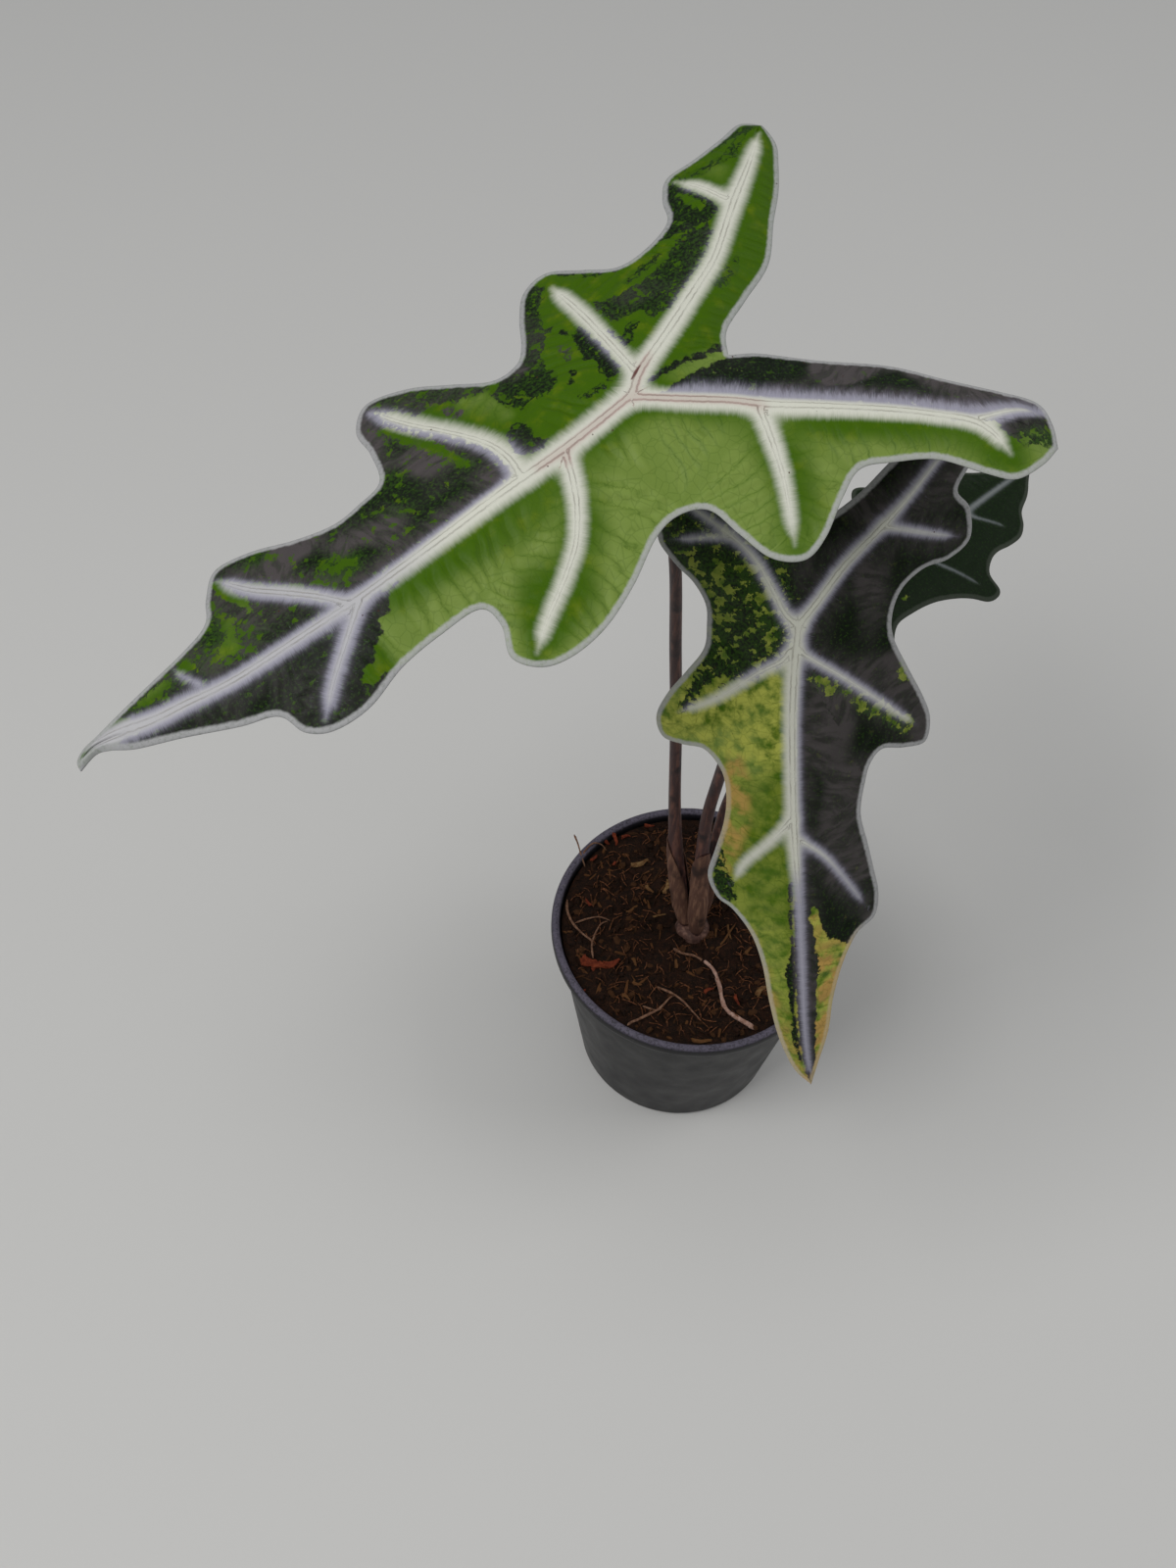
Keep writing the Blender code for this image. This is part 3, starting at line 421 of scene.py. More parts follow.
def buildBlade(name, leaf, mats):
    # a closed shell: an upper and a lower sheet of grids, which meet at the rounded margin
    margins = [smoothPath(leaf[part][side], 8) for part in ("outer", "inner") for side in (1, -1)]
    bm = bmesh.new()
    order = bm.verts.layers.int.new("order")
    flats, shares, under = [], [], []
    for lower in (False, True):
        rowCount = leaf["rows"] // 2 if lower else leaf["rows"]
        inner = 1.0 - (1.0 - np.linspace(0.0, 1.0, rowCount + 1)) ** 1.12
        rimRows = np.array(sheetForm["rimRows"])
        for rib, edge in sheetPatches(leaf):
            count, down = len(rib) - 1, rowCount + len(rimRows) - 1
            grid = bmesh.ops.create_grid(bm, x_segments=count, y_segments=down, size=1.0)["verts"]
            across = np.array([round((v.co.x + 1.0) * 0.5 * count) for v in grid])
            rows = np.array([round((v.co.y + 1.0) * 0.5 * down) for v in grid])
            span = np.linalg.norm(edge - rib, axis=1)[across]
            reach = np.minimum(rimRows[0] / span, 0.5)
            rimShare = 1.0 - rimRows[np.maximum(rows - rowCount, 0)] / rimRows[0] * reach
            share = np.where(rows <= rowCount, inner[np.minimum(rows, rowCount)] * (1.0 - reach), rimShare)
            flats.append(rib[across] * (1 - share[:, None]) + edge[across] * share[:, None])
            shares.append(share)
            under.append(np.full(len(grid), lower))
    flat, share, under = np.vstack(flats), np.concatenate(shares), np.concatenate(under)
    print(name, len(flat), "points")

    veins = veinFields(leaf, flat)
    marginNear = np.minimum.reduce([lineDistance(flat, line) for line in margins])
    ribs = [smoothPath(leaf["spine"], 6)] + [costaLine(*leaf["costae"][s]) for s in (1, -1)]
    ribNear = np.minimum.reduce([lineDistance(flat, rib) for rib in ribs])
    taper = np.clip(1.15 - np.linalg.norm(flat, axis=1) / leaf["length"], 0.25, 1.0)

    # side veins ripple the sheet between the main ones
    warp = 7.0 * (valueNoise(flat, 15.0, 3) - 0.5) + 2.0 * (valueNoise(flat, 5.0, 4) - 0.5)
    phase = (veins[:, 2] - 0.4 * veins[:, 1] + warp) / leaf["rippleSpacing"]
    between = smoothStep(0.4, 5.0, veins[:, 4])
    rippleFade = smoothStep(1.0, 6.0, veins[:, 3]) * smoothStep(0.5, 4.0, marginNear) * between
    ripple = leaf["rippleHeight"] * (np.abs(np.cos(math.pi * phase)) - 0.6) * rippleFade
    lumps = 0.5 * (valueNoise(flat, 9.0, 5) - 0.5) * rippleFade
    swell = sheetForm["quilt"] * np.sin(math.pi * share) ** 2 + ripple + lumps
    base = leafForm(leaf, flat, swell)
    stepX = leafForm(leaf, flat + [0.5, 0.0], swell) - base
    stepY = leafForm(leaf, flat + [0.0, 0.5], swell) - base
    normal = np.cross(stepX, stepY)
    normal /= np.linalg.norm(normal, axis=1)[:, None]

    # a bead runs along the rounded margin; ribs and veins swell the underside and stand a little proud above
    form = sheetForm
    bead = np.exp(-((marginNear - 0.9) / 0.8) ** 2)
    veinBand = 1.0 - smoothStep(-1.6, 0.4, veins[:, 3])
    rounding = 1.0 - np.sqrt(1.0 - (1.0 - np.clip(marginNear / 0.55, 0.0, 1.0)) ** 2)
    thick = form["plain"] + form["bead"] * bead + form["rib"] * taper * np.exp(-(ribNear / 3.0) ** 2)
    thick += form["vein"] * np.exp(-(veins[:, 1] / 1.4) ** 2)
    top = 0.16 * bead + 0.22 * veinBand - 0.3 * rounding
    bottom = -thick + (thick - form["edge"]) * rounding
    shift = np.where(under, bottom, top)
    world = (base + normal * shift[:, None]) * mm
    for index, (vert, spot) in enumerate(zip(bm.verts, world)):
        vert.co = spot
        vert[order] = index
    for face in bm.faces:
        face.smooth = True
        face.material_index = 1 if under[face.verts[0][order]] else 0
    bmesh.ops.remove_doubles(bm, verts=bm.verts, dist=form["weld"] * mm)
    bmesh.ops.triangulate(bm, faces=bm.faces, quad_method="SHORT_EDGE")
    bmesh.ops.recalc_face_normals(bm, faces=bm.faces)
    obj = addObject(name, bm, mats)

    count = len(obj.data.vertices)
    picked = np.zeros(count, np.int32)
    obj.data.attributes["order"].data.foreach_get("value", picked)
    obj.data.attributes.remove(obj.data.attributes["order"])
    fields = {"veinSide": veins[:, 0], "veinAlong": veins[:, 2], "veinGap": veins[:, 3],
              "marginNear": marginNear, "sidePhase": phase, "between": between,
              "scarNear": lineDistance(flat, np.array(leaf.get("scar", [(-900, 0), (-901, 0)]), float))}
    fields.update(leafPaint(leaf, flat, veins))
    for key, values in fields.items():
        layer = obj.data.attributes.new(key, "FLOAT", "POINT")
        layer.data.foreach_set("value", values[picked].astype(np.float32))
    spots = obj.data.attributes.new("flat", "FLOAT_VECTOR", "POINT")
    rows = np.column_stack([flat[picked], np.zeros(count)]).astype(np.float32)
    spots.data.foreach_set("vector", rows.ravel())
    return obj


def leafPaint(leaf, flat, veins):
    # dark is a depth in millimetres, positive in dark tissue; fringe is in millimetres; the rest run 0 to 1
    dark = np.full(len(flat), 12.0 if leaf.get("allDark") else -12.0)
    starts = {"holes": 0.0, "greyed": 0.0, "lime": leaf.get("pale", 0.0), "yellow": leaf.get("yellow", 0.0),
              "ochre": 0.0, "cloud": 0.0, "blush": 0.0, "fringe": leaf["fringe"]}
    tones = {key: np.full(len(flat), value) for key, value in starts.items()}
    for kind, settings, polygon in leaf["patches"]:
        depth = polygonDepth(flat, polygon)
        if kind == "dark":
            dark = np.maximum(dark, depth)
        elif kind == "green":
            dark = np.minimum(dark, -depth)
        for key, (value, soft) in settings.items():
            cover = smoothStep(-1.7 * soft, 0.3 * soft, depth)
            tones[key] = tones[key] * (1 - cover) + value * cover
    tones["dark"] = np.clip(dark, -12.0, 12.0)
    # the cloud field is the amount of painted sheen over the dark tissue; it gathers in patches and beside
    # the veins
    broad, gap = valueNoise(flat, 15.0, 7), veins[:, 3]
    tones["lime"] = tones["lime"] * smoothStep(0.5, 11.0, gap + 9.0 * (broad - 0.5))
    beside = 0.65 * (1.0 - smoothStep(0.0, 10.0, gap))
    sheenPatches = np.maximum(smoothStep(0.25, 0.65, valueNoise(flat, 12.0, 8)), beside)
    tones["cloud"] = np.clip(tones["cloud"] * sheenPatches, 0.0, 1.0)
    return tones


largeLeaf["patches"] = [
    # pale upper half, from the notch round to the jagged boundary near the last side vein
    ("tone", {"lime": (1, 3)}, [(-36, -1), (0, 0), (26, 4), (50, 6), (75, 8), (101, 10), (101, 60),
     (-40, 80), (-110, 100), (-86, 66), (-62, 46), (-32, 25)]),
    ("tone", {"lime": (0.55, 2)}, [(32, -20), (40, -22), (44, -30), (40, -38), (33, -34)]),
    ("tone", {"fringe": (4.6, 4)}, [(4, -2), (42, 1), (46, -16), (54, -32), (66, -60), (58, -60), (44, -40),
     (34, -14), (4, -8)]),
    ("tone", {"lime": (0.15, 5)}, [(34, 4), (92, 8), (94, 16), (78, 17), (60, 19), (44, 18), (36, 13)]),
    ("tone", {"lime": (0.2, 4)}, [(-34, 36), (-44, 40), (-62, 54), (-76, 66), (-78, 58), (-60, 44),
     (-44, 32)]),
    # back lobe, outer half
    ("dark", {"holes": (0.5, 3), "cloud": (0.25, 3)}, [(-58, -42), (-50, -35), (-40, -29), (-30, -23),
     (-23, -22), (-22, -26), (-18, -29), (-13, -30), (-12, -38), (-13, -44), (-16, -40), (-21, -39),
     (-28, -39), (-35, -39), (-41, -42), (-46, -45), (-52, -47), (-58, -45)]),
    ("dark", {"holes": (0.6, 2)}, [(-40, -45), (-32, -45), (-25, -42), (-26, -41), (-33, -42), (-39, -43)]),
    ("dark", {"holes": (0.35, 2)}, [(-66, -50), (-61, -47), (-56, -46), (-48, -48), (-42, -50),
     (-34, -49.5), (-26, -49.5), (-20, -54), (-14, -62), (-12, -66), (-20, -64), (-28, -56), (-38, -56),
     (-50, -62), (-54, -74), (-61, -74), (-62, -68), (-63, -60), (-65, -54)]),
    ("green", {}, [(-63, -53), (-60, -52), (-58, -58), (-60, -64), (-62, -60)]),
    ("dark", {"holes": (0.4, 2)}, [(-10, -17), (-14, -21), (-18, -24), (-16, -26), (-11, -23), (-9, -30)]),
    # back lobe, inner half and tip
    ("dark", {"holes": (0.9, 2)}, [(-60, -29), (-54, -24), (-47, -20), (-45, -23), (-51, -27), (-58, -30)]),
    ("tone", {"cloud": (0.35, 3)}, [(-62, -24), (-52, -17), (-41, -15), (-42, -21), (-54, -24)]),
    ("dark", {"holes": (0.8, 2)}, [(-97, -73), (-90, -71), (-83, -65), (-78, -66), (-70, -66), (-65, -69),
     (-62, -74), (-72, -76), (-84, -77), (-90, -80), (-95, -80)]),
    ("green", {}, [(-88, -73), (-80, -69), (-72, -70), (-66, -71), (-70, -73), (-80, -73)]),
    ("tone", {"cloud": (0.9, 1.5), "lime": (0.8, 2)}, [(-78, -59), (-71, -58), (-69, -62), (-73, -65),
     (-78, -63)]),
    # crease between the back lobes: a thin strip of dark tissue along it, painted shade
    ("dark", {"holes": (0.15, 1)}, [(-37, -2), (-12, -1.2), (-3, -0.6), (-12, -3.4), (-35, -4.4)]),
    # back lobe of the pale half: dark inside its costa, where the strip faces away from the light: painted
    # shade, under painted sheen
    ("dark", {"holes": (0.1, 2), "cloud": (0.85, 4)}, [(-37, 0.6), (-16, 3), (-6, 4), (0, 3), (-15, 12),
     (-24, 18), (-45, 35), (-62, 47), (-72, 55), (-80, 62), (-86, 65), (-87, 71), (-89, 76), (-96, 79),
     (-104, 86), (-112, 62), (-95, 45), (-76, 20), (-50, -2)]),
    ("tone", {"cloud": (0.1, 3)}, [(-36, 0), (-10, 3), (-20, 8), (-36, 16), (-52, 20), (-66, 26), (-80, 40),
     (-92, 56), (-110, 60), (-76, 18), (-50, 0)]),
    ("green", {}, [(-37, 0.4), (-12, 2.6), (-8, 0), (-12, -1.4), (-36, -1.8)]),
    # between the first two side veins of the darker half
    ("dark", {"holes": (0.25, 2)}, [(-3, -10), (2, -9), (2.5, -13), (0.5, -19), (3, -22), (2, -27),
     (0, -34), (-4, -37), (-5, -24)]),
    ("dark", {"holes": (0.5, 1)}, [(4, -7.6), (9, -7.8), (13, -8.6), (12.5, -10), (8, -9.4), (4.4, -9.6)]),
    ("dark", {"holes": (0.2, 1)}, [(8, -17.5), (12.5, -15.4), (12.6, -17.6), (9.6, -19.4), (8.8, -22),
     (7, -21.4)]),
    ("dark", {"holes": (0.7, 1), "cloud": (0.6, 2)}, [(5, -26), (7, -27), (6, -31), (5, -34), (3, -32)]),
    ("dark", {"holes": (0.45, 2), "cloud": (0.3, 3)}, [(13, -22), (17, -19), (23, -20), (29, -20),
     (31.5, -27), (31, -33), (27.5, -35), (28, -44), (17, -46), (10, -62), (-4, -72), (-7, -63), (-4, -58),
     (2, -52), (4, -45), (5, -41), (8, -38), (12, -34), (12.5, -28)]),
    ("dark", {"holes": (0.2, 1)}, [(0, -36), (1.8, -37), (1.4, -40), (-0.4, -39.5)]),
    ("dark", {"holes": (0.2, 1)}, [(1.5, -42.5), (3.5, -42), (3.4, -44), (2, -44)]),
    ("dark", {"holes": (0.3, 1.5), "cloud": (0.4, 3)}, [(27.5, -2.4), (31, -0.6), (38, -2), (38, -8),
     (36.5, -13), (33.5, -16), (31, -15), (30, -11), (31, -8)]),
    ("dark", {"holes": (0.55, 2), "cloud": (0.35, 3)}, [(30, -36), (33, -36), (36, -38), (40, -38),
     (42, -41), (46, -44), (49, -49), (54, -51), (60, -55), (64, -60), (62, -66), (50, -62), (40, -54),
     (30, -44)]),
    ("dark", {"holes": (0.5, 1.5), "cloud": (0.9, 2)}, [(41, -33), (44, -32), (47, -38), (46, -41),
     (42, -37)]),
    ("dark", {"holes": (0.4, 1.5), "cloud": (0.9, 2)}, [(47, -45), (53, -44), (57, -50), (54, -52),
     (49, -49)]),
    # between the second and third side veins
    ("dark", {"holes": (0.3, 3), "cloud": (1.25, 6)}, [(42, 2), (56, 6), (75, 8), (101, 10), (108, 6),
     (113, -8), (121, -16), (133, -32), (140, -44), (120, -42), (90, -28), (76, -32), (78, -64), (64, -64),
     (58, -44), (48, -24), (44, -12)]),
    ("tone", {"cloud": (0.25, 5)}, [(50, -9), (60, -8), (72, -13), (88, -17), (86, -24), (72, -26),
     (66, -14), (56, -14)]),
    ("green", {"holes": (0.9, 2)}, [(51, -11), (52, -11), (55, -20), (61, -36), (65, -48), (63, -48),
     (55, -28)]),
    ("tone", {"holes": (1, 2)}, [(95, -5), (97, -1), (105, 0), (108, -6), (103, -11), (98, -9)]),
    ("tone", {"holes": (0.7, 2)}, [(74, -9), (80, -8), (80, -12), (77, -14)]),
    ("tone", {"holes": (0.6, 2)}, [(70, -22), (75, -24), (74, -30), (70, -28)]),
    ("tone", {"holes": (0.8, 2)}, [(112, -26), (119, -27), (126, -31), (120, -31)]),
    # from the third side vein to the tip
    ("dark", {"holes": (0.3, 3), "cloud": (0.55, 5)}, [(106, 8), (120, 10), (140, 9), (152, 7), (165, 4),
     (178, 0), (176, -5), (163, -5.5), (150, -7), (144, -14), (150, -24), (134, -36), (132, -28),
     (119, -10), (112, 0)]),
    ("dark", {"holes": (0.6, 2), "cloud": (0.5, 3)}, [(138, -8), (150, -5), (176, -3), (184, -9),
     (160, -16), (144, -20), (138, -24)]),
    ("tone", {"holes": (0.8, 2)}, [(130, -2), (136, 1), (150, -1), (152, -6), (144, -10), (140, -20),
     (134, -10)]),
    ("green", {"lime": (0.2, 1)}, [(139, -1), (144.4, -2), (144, -6), (140, -8), (138.4, -13), (136.4, -14),
     (138, -6)]),
    ("green", {"lime": (0.5, 1)}, [(128.8, -11.4), (130.8, -11.6), (132.2, -17.6), (134.2, -22.8),
     (135.8, -26), (136, -32.6), (133.8, -33.6), (131, -25), (129, -16)]),
    ("green", {"lime": (0.7, 1), "holes": (0.8, 1)}, [(153, -6.6), (158, -7), (158, -10), (154, -11.4)]),
    ("green", {"lime": (0.9, 1), "holes": (0.8, 1)}, [(161, -6), (171, -4.4), (174, -7), (163, -9)]),
    ("tone", {"greyed": (0.6, 22)}, [(98, 40), (230, 40), (230, -50), (98, -50)]),
    # a healed nick
    ("dark", {"cloud": (1.6, 0.8), "holes": (0.3, 1)}, [(17, -34), (22, -31.5), (25, -35), (24, -39),
     (18, -39)]),
    # the pale half beyond its jagged boundary
    ("dark", {"holes": (0.12, 2), "cloud": (0.25, 5)}, [(90, 12), (94, 13.5), (96, 17), (100, 18.5),
     (102, 22), (106, 24), (108, 26.6), (113, 27.6), (115.4, 30.6), (113, 31.6), (104, 31.8), (98, 33),
     (98, 44), (150, 44), (205, 12), (200, -2), (175, 2), (155, 6), (120, 9)]),
    ("tone", {"fringe": (6.5, 3)}, [(-12, 8), (-30, 22), (-62, 46), (-84, 62), (-104, 68), (-108, 60),
     (-94, 48), (-78, 36), (-58, 20), (-38, 8), (-20, 4)]),
    # heavy painted sheen along the costa of the pale half
    ("tone", {"cloud": (1.7, 4)}, [(-46, 24), (-62, 38), (-80, 54), (-100, 64), (-98, 56), (-88, 42),
     (-69, 26), (-54, 15)]),
    ("tone", {"holes": (0.7, 2)}, [(-112, 84), (-84, 84), (-82, 76), (-92, 73), (-108, 76)]),
    ("tone", {"blush": (0.8, 2)}, [(-1, 0), (4, -0.5), (20, 3.2), (36, 5), (32, 8), (10, 6.5), (2, 5),
     (-14, 13), (-26, 22), (-30, 24.5), (-29, 22), (-16, 11), (-4, 2), (-10, -7), (-12, -11)]),
]
frontLeaf["yellow"] = 0.55
frontLeaf["pale"] = 0.35
frontLeaf["patches"] = [
    ("dark", {"holes": (0.02, 2), "cloud": (0.7, 5)}, [(-70, 0), (-20, -5), (0, -4), (10, -1), (60, -3),
     (104, -2.6), (120, -2), (112, 0.6), (107, 1.5), (108, 4), (112, 4.4), (117, 5.6), (121, 6.6), (123, 9),
     (124.6, 12), (127, 14), (122, 40), (60, 60), (-30, 76), (-80, 76)]),
    ("dark", {"holes": (0.55, 3), "cloud": (0.1, 5)}, [(-60, -14), (-20, -3), (0, -3), (12, -3.5),
     (20, -14), (20, -21), (24, -26), (27, -32), (33, -36), (37, -41), (31, -40), (22, -35), (14, -31),
     (6, -34), (-8, -36), (-20, -46), (-56, -60)]),
    ("tone", {"holes": (0.85, 2), "yellow": (0.8, 3)}, [(-22, -13), (-10, -8), (2, -5), (6, -9), (-4, -12),
     (-20, -19)]),
    ("tone", {"holes": (0.8, 2)}, [(-20, -22), (6, -24), (12, -30), (-6, -31), (-22, -36)]),
    ("green", {"holes": (0.4, 1)}, [(19, -21), (24, -26), (30, -32), (26, -33), (21, -27)]),
    ("tone", {"holes": (0.8, 2)}, [(20, 36), (28, 36), (30, 43), (22, 42)]),
    ("tone", {"holes": (0.95, 1.5)}, [(19, 4), (24, 6), (28, 15), (36, 22), (40, 28), (49, 38), (46, 41),
     (34, 28), (22, 12)]),
    ("dark", {"holes": (0.5, 1)}, [(97, -27), (101, -24.6), (104, -24.4), (107, -24), (110, -28),
     (108, -36), (98, -35), (88, -33), (80, -28), (88, -28)]),
    ("dark", {"holes": (0.15, 1)}, [(94, -5), (110, -5.4), (122, -5), (134, -4.6), (150, -5), (163, -4),
     (176, -3), (170, -5), (160, -6.4), (150, -7), (143, -7), (135, -8.4), (126, -6), (112, -6), (98, -6)]),
    ("dark", {"holes": (0.7, 1)}, [(126, 3), (134, 4), (140, 2), (134, 1), (128, 1)]),
    ("dark", {"holes": (0, 1), "cloud": (0.7, 1)}, [(104, -1.6), (116, 2.2), (130, 2.6), (146, 2.6),
     (160, 2.2), (172, 1.8), (184, 0.4), (184, -1), (170, -3.4), (150, -4.4), (130, -4.8), (104, -4.4)]),
    ("tone", {"greyed": (0.9, 8)}, [(100, 8), (200, 8), (200, -8), (100, -8)]),
    ("tone", {"yellow": (0.3, 6), "lime": (0.2, 6)}, [(52, -4), (114, -5), (110, -18), (70, -18),
     (56, -12)]),
    ("tone", {"yellow": (1, 4), "lime": (1, 5)}, [(16, -8), (46, -7), (52, -16), (50, -34), (44, -48),
     (30, -40), (24, -20)]),
    ("tone", {"yellow": (1, 3), "ochre": (0.6, 4)}, [(104, -1), (188, -1), (186, 4), (120, 16)]),
    ("tone", {"ochre": (0.9, 2.5)}, [(50, -22), (60, -19.5), (72, -20), (84, -23), (96, -28), (80, -27),
     (60, -26)]),
    ("tone", {"ochre": (1.5, 4)}, [(130, 6), (150, 2), (186, -2), (188, 4), (150, 12), (130, 16)]),
    ("tone", {"ochre": (0.7, 3)}, [(120, -21), (150, -12), (180, -3), (184, -8), (150, -17), (120, -24)]),
]
smallLeaf["allDark"] = True
smallLeaf["patches"] = [
    ("green", {"yellow": (1.0, 1.0)}, [(-3, -11.6), (0, -11.2), (1, -12.6), (-2, -13)]),
]


# leaf materials
# Living leaf: a waxy cuticle over coloured tissue, moulded by its veins; satin, never mirror-like

# the purple-grey tint laid over the dark tissue in clouds is a painted sheen
leafTopLook = {
    "limeDeep": "#3A5A00", "limePale": "#71853D", "gold": "#6C7A08", "yellow": "#A8AC4C", "ochre": "#B08E4C",
    "dark": "#0E150B", "moss": "#26400D", "sheenTint": "#4A4545",
    "cream": "#C9C9BC", "lilac": "#9A98A6", "dusk": "#5E5A68",
    "track": "#7C766A", "blush": "#A88C86", "rim": "#A6A6A6", "dryRim": "#B4A27E", "speck": "#3E2218",
    "scar": "#5A2A28", "sideVein": "#34520C",
}
# the small leaf keeps its own dark green, but its veins, rim and sheen are painted darker: painted shade, for
# the shadow of the large leaf over it
shadedLeafLook = dict(leafTopLook, dark="#101E0A", moss="#1E3710", sheenTint="#25301E",
                    cream="#868A88", lilac="#6C7274", dusk="#3A4436",
                    rim="#3E443A", sideVein="#0E1A0A")
# the underside is duller, with the dark tissue flushed maroon
leafUnderLook = dict(leafTopLook, limeDeep="#5C7434", limePale="#84955C", gold="#6E7C48", yellow="#96985A",
                     ochre="#A0905E", dark="#33202A", moss="#3A2C2C", sheenTint="#4A3A44",
                     cream="#A9AD90", lilac="#8C8290", dusk="#5E5060", blush="#A09A84", track="#8C9078")
# feature size in mm, detail and roughness of each noise over the flat leaf
leafNoise = {"medium": (5.0, 3.0, 0.55), "grain": (1.9, 4.0, 0.65), "cell": (1.1, 3.0, 0.7),
             "fine": (0.5, 2.0, 0.5), "fleck": (3.8, 3.5, 0.62), "stain": (7.0, 3.0, 0.5)}
leafFields = ("veinSide", "veinAlong", "veinGap", "marginNear", "sidePhase", "between", "scarNear",
              "dark", "holes", "greyed", "lime", "yellow", "ochre", "cloud", "blush", "fringe")


def makeLeafMaterial(name, look):
    mat, node, shader = startMaterial(name, {"Roughness": 0.5, "IOR": 1.4, "Specular IOR Level": 0.13})
    field = {key: node("Attribute", (), "Fac", attribute_name=key) for key in leafFields}
    flat = node("Attribute", (), "Vector", attribute_name="flat")
    noise = {key: node("TexNoise", {"Vector": flat, "Scale": 1 / size, "Detail": detail, "Roughness": rough})
             for key, (size, detail, rough) in leafNoise.items()}

    # dark tissue: jagged at its edges, with green flecks inside it
    jagSize = node("Math", (field["holes"], 14.0, 4.0), **fused)
    jag = node("Math", (noise["fleck"], 0.5), **minus)
    edge = node("Math", (jag, jagSize, field["dark"]), **fused)
    solid = node("MapRange", (edge, -0.35, 0.35), **smooth)
    openness = node("Math", (field["holes"], 0.17, noise["fleck"]), **fused)
    allowed = node("MapRange", (field["holes"], 0.0, 0.2, 0.0, 0.82))
    holes = node("MapRange", (openness, 0.64, 0.68, 0.0, allowed), **smooth)
    dark = node("Math", (solid, holes), use_clamp=True, **minus)

    # green tissue: deep and a little golden beside the veins, pale between them; paler on the ripple crests
    # and deeper in their valleys, as painted light and shade
    golden = node("MapRange", (noise["stain"], 0.5, 0.8, 0.0, 0.5), **smooth)
    lime = node("Mix", {0: golden, 6: look["limeDeep"], 7: look["gold"]}, **rgba)
    wander = node("Math", (noise["medium"], 0.5, field["sidePhase"]), **fused)
    valley = node("Math", (wander, 0.5), operation="PINGPONG")
    rippleLightShade = node("MapRange", (valley, 0.02, 0.35, 0.0, field["between"]), **smooth)
    rippleLightShade = node("Math", (rippleLightShade, 0.28, 0.8), **fused)
    pale = node("Math", (field["lime"], rippleLightShade), use_clamp=True, **times)
    patchy = node("MapRange", (noise["medium"], 0.3, 0.65, 0.0, field["yellow"]), **smooth)
    stained = node("MapRange", (noise["stain"], 0.38, 0.6, 0.0, field["ochre"]), **smooth)
    for cover, key in ((pale, "limePale"), (patchy, "yellow"), (stained, "ochre")):
        lime = node("Mix", {0: cover, 6: lime, 7: look[key]}, **rgba)

    # dark tissue: black-green, grained with moss, under purple-grey clouds of painted sheen that run in
    # streaks along the side veins
    mossy = node("Math", (field["holes"], 0.22, noise["cell"]), **fused)
    mossy = node("MapRange", (mossy, 0.5, 0.74), **smooth)
    deep = node("Mix", {0: mossy, 6: look["dark"], 7: look["moss"]}, **rgba)
    # the painted sheen is streaked along the side veins, as streaks of painted highlight
    streakX = node("Math", (field["sidePhase"], 2.2), **times)
    streakY = node("Math", (field["veinGap"], 0.12), **times)
    streakPlace = node("CombineXYZ", (streakX, streakY))
    streak = node("TexNoise", {"Vector": streakPlace, "Scale": 1.0, "Detail": 3.0})
    streak = node("MapRange", (streak, 0.38, 0.6, 0.55, 1.15), **smooth)
    sheenCover = node("Math", (field["cloud"], streak), use_clamp=True, **times)
    deep = node("Mix", {0: sheenCover, 6: deep, 7: look["sheenTint"]}, **rgba)
    tissue = node("Mix", {0: dark, 6: lime, 7: deep}, **rgba)

    # fine side veins: thin lines in the valleys of the ripples, and a faint net between them
    line = node("MapRange", (valley, 0.07, 0.015, 0.0, field["between"]), **smooth)
    broken = node("MapRange", (noise["grain"], 0.38, 0.6, 0.12, 0.46), **smooth)
    line = node("Math", (line, broken), **times)
    net = node("TexVoronoi", {"Vector": flat, "Scale": 0.3}, feature="DISTANCE_TO_EDGE")
    net = node("MapRange", (net, 0.07, 0.0, 0.0, 0.24), **smooth)
    line = node("Math", (line, net), operation="MAXIMUM")
    drawn = node("Math", (line, dark), use_clamp=True, **minus)
    tissue = node("Mix", {0: drawn, 6: tissue, 7: look["sideVein"]}, **rgba)

    # pale band along each vein: its edge fades in fine hairs square to the vein, 0.3 mm apart
    centre = node("Math", (field["veinSide"],), operation="ABSOLUTE")
    hairX = node("Math", (field["veinAlong"], 3.2), **times)
    hairY = node("Math", (field["veinSide"], 0.3), **times)
    hairPlace = node("CombineXYZ", (hairX, hairY))
    hair = node("TexNoise", {"Vector": hairPlace, "Scale": 1.0, "Detail": 2.0})
    tuft = node("TexNoise", {"Vector": hairPlace, "Scale": 0.16, "Detail": 2.0})
    greenReach = node("Math", (field["fringe"], 0.75), **times)
    reach = node("Mix", {0: dark, 2: greenReach, 3: field["fringe"]})
    hairReach = node("Math", (reach, 0.65), **times)
    ragged = node("Math", (hair, hairReach, field["veinGap"]), **fused)
    tuftReach = node("Math", (reach, 0.5), **times)
    ragged = node("Math", (tuft, tuftReach, ragged), **fused)
    ragged = node("Math", (reach, -0.57, ragged), **fused)
    outside = node("Math", (reach, 1.15), **times)
    band = node("MapRange", (ragged, outside, -1.7), **smooth)
    # a few longer hairs
    farReach = node("Math", (reach, 2.3), **times)
    wispReach = node("MapRange", (field["veinGap"], farReach, reach, 0.0, dark), **smooth)
    wisp = node("MapRange", (hair, 0.62, 0.74, 0.0, 0.4), **smooth)
    wisp = node("Math", (wisp, wispReach), **times)
    band = node("Math", (band, wisp), operation="MAXIMUM")
    lilac = node("MapRange", (field["veinGap"], -2.4, 0.2, 0.0, dark), **smooth)
    dusk = node("MapRange", (band, 0.75, 0.1, 0.0, dark), **smooth)

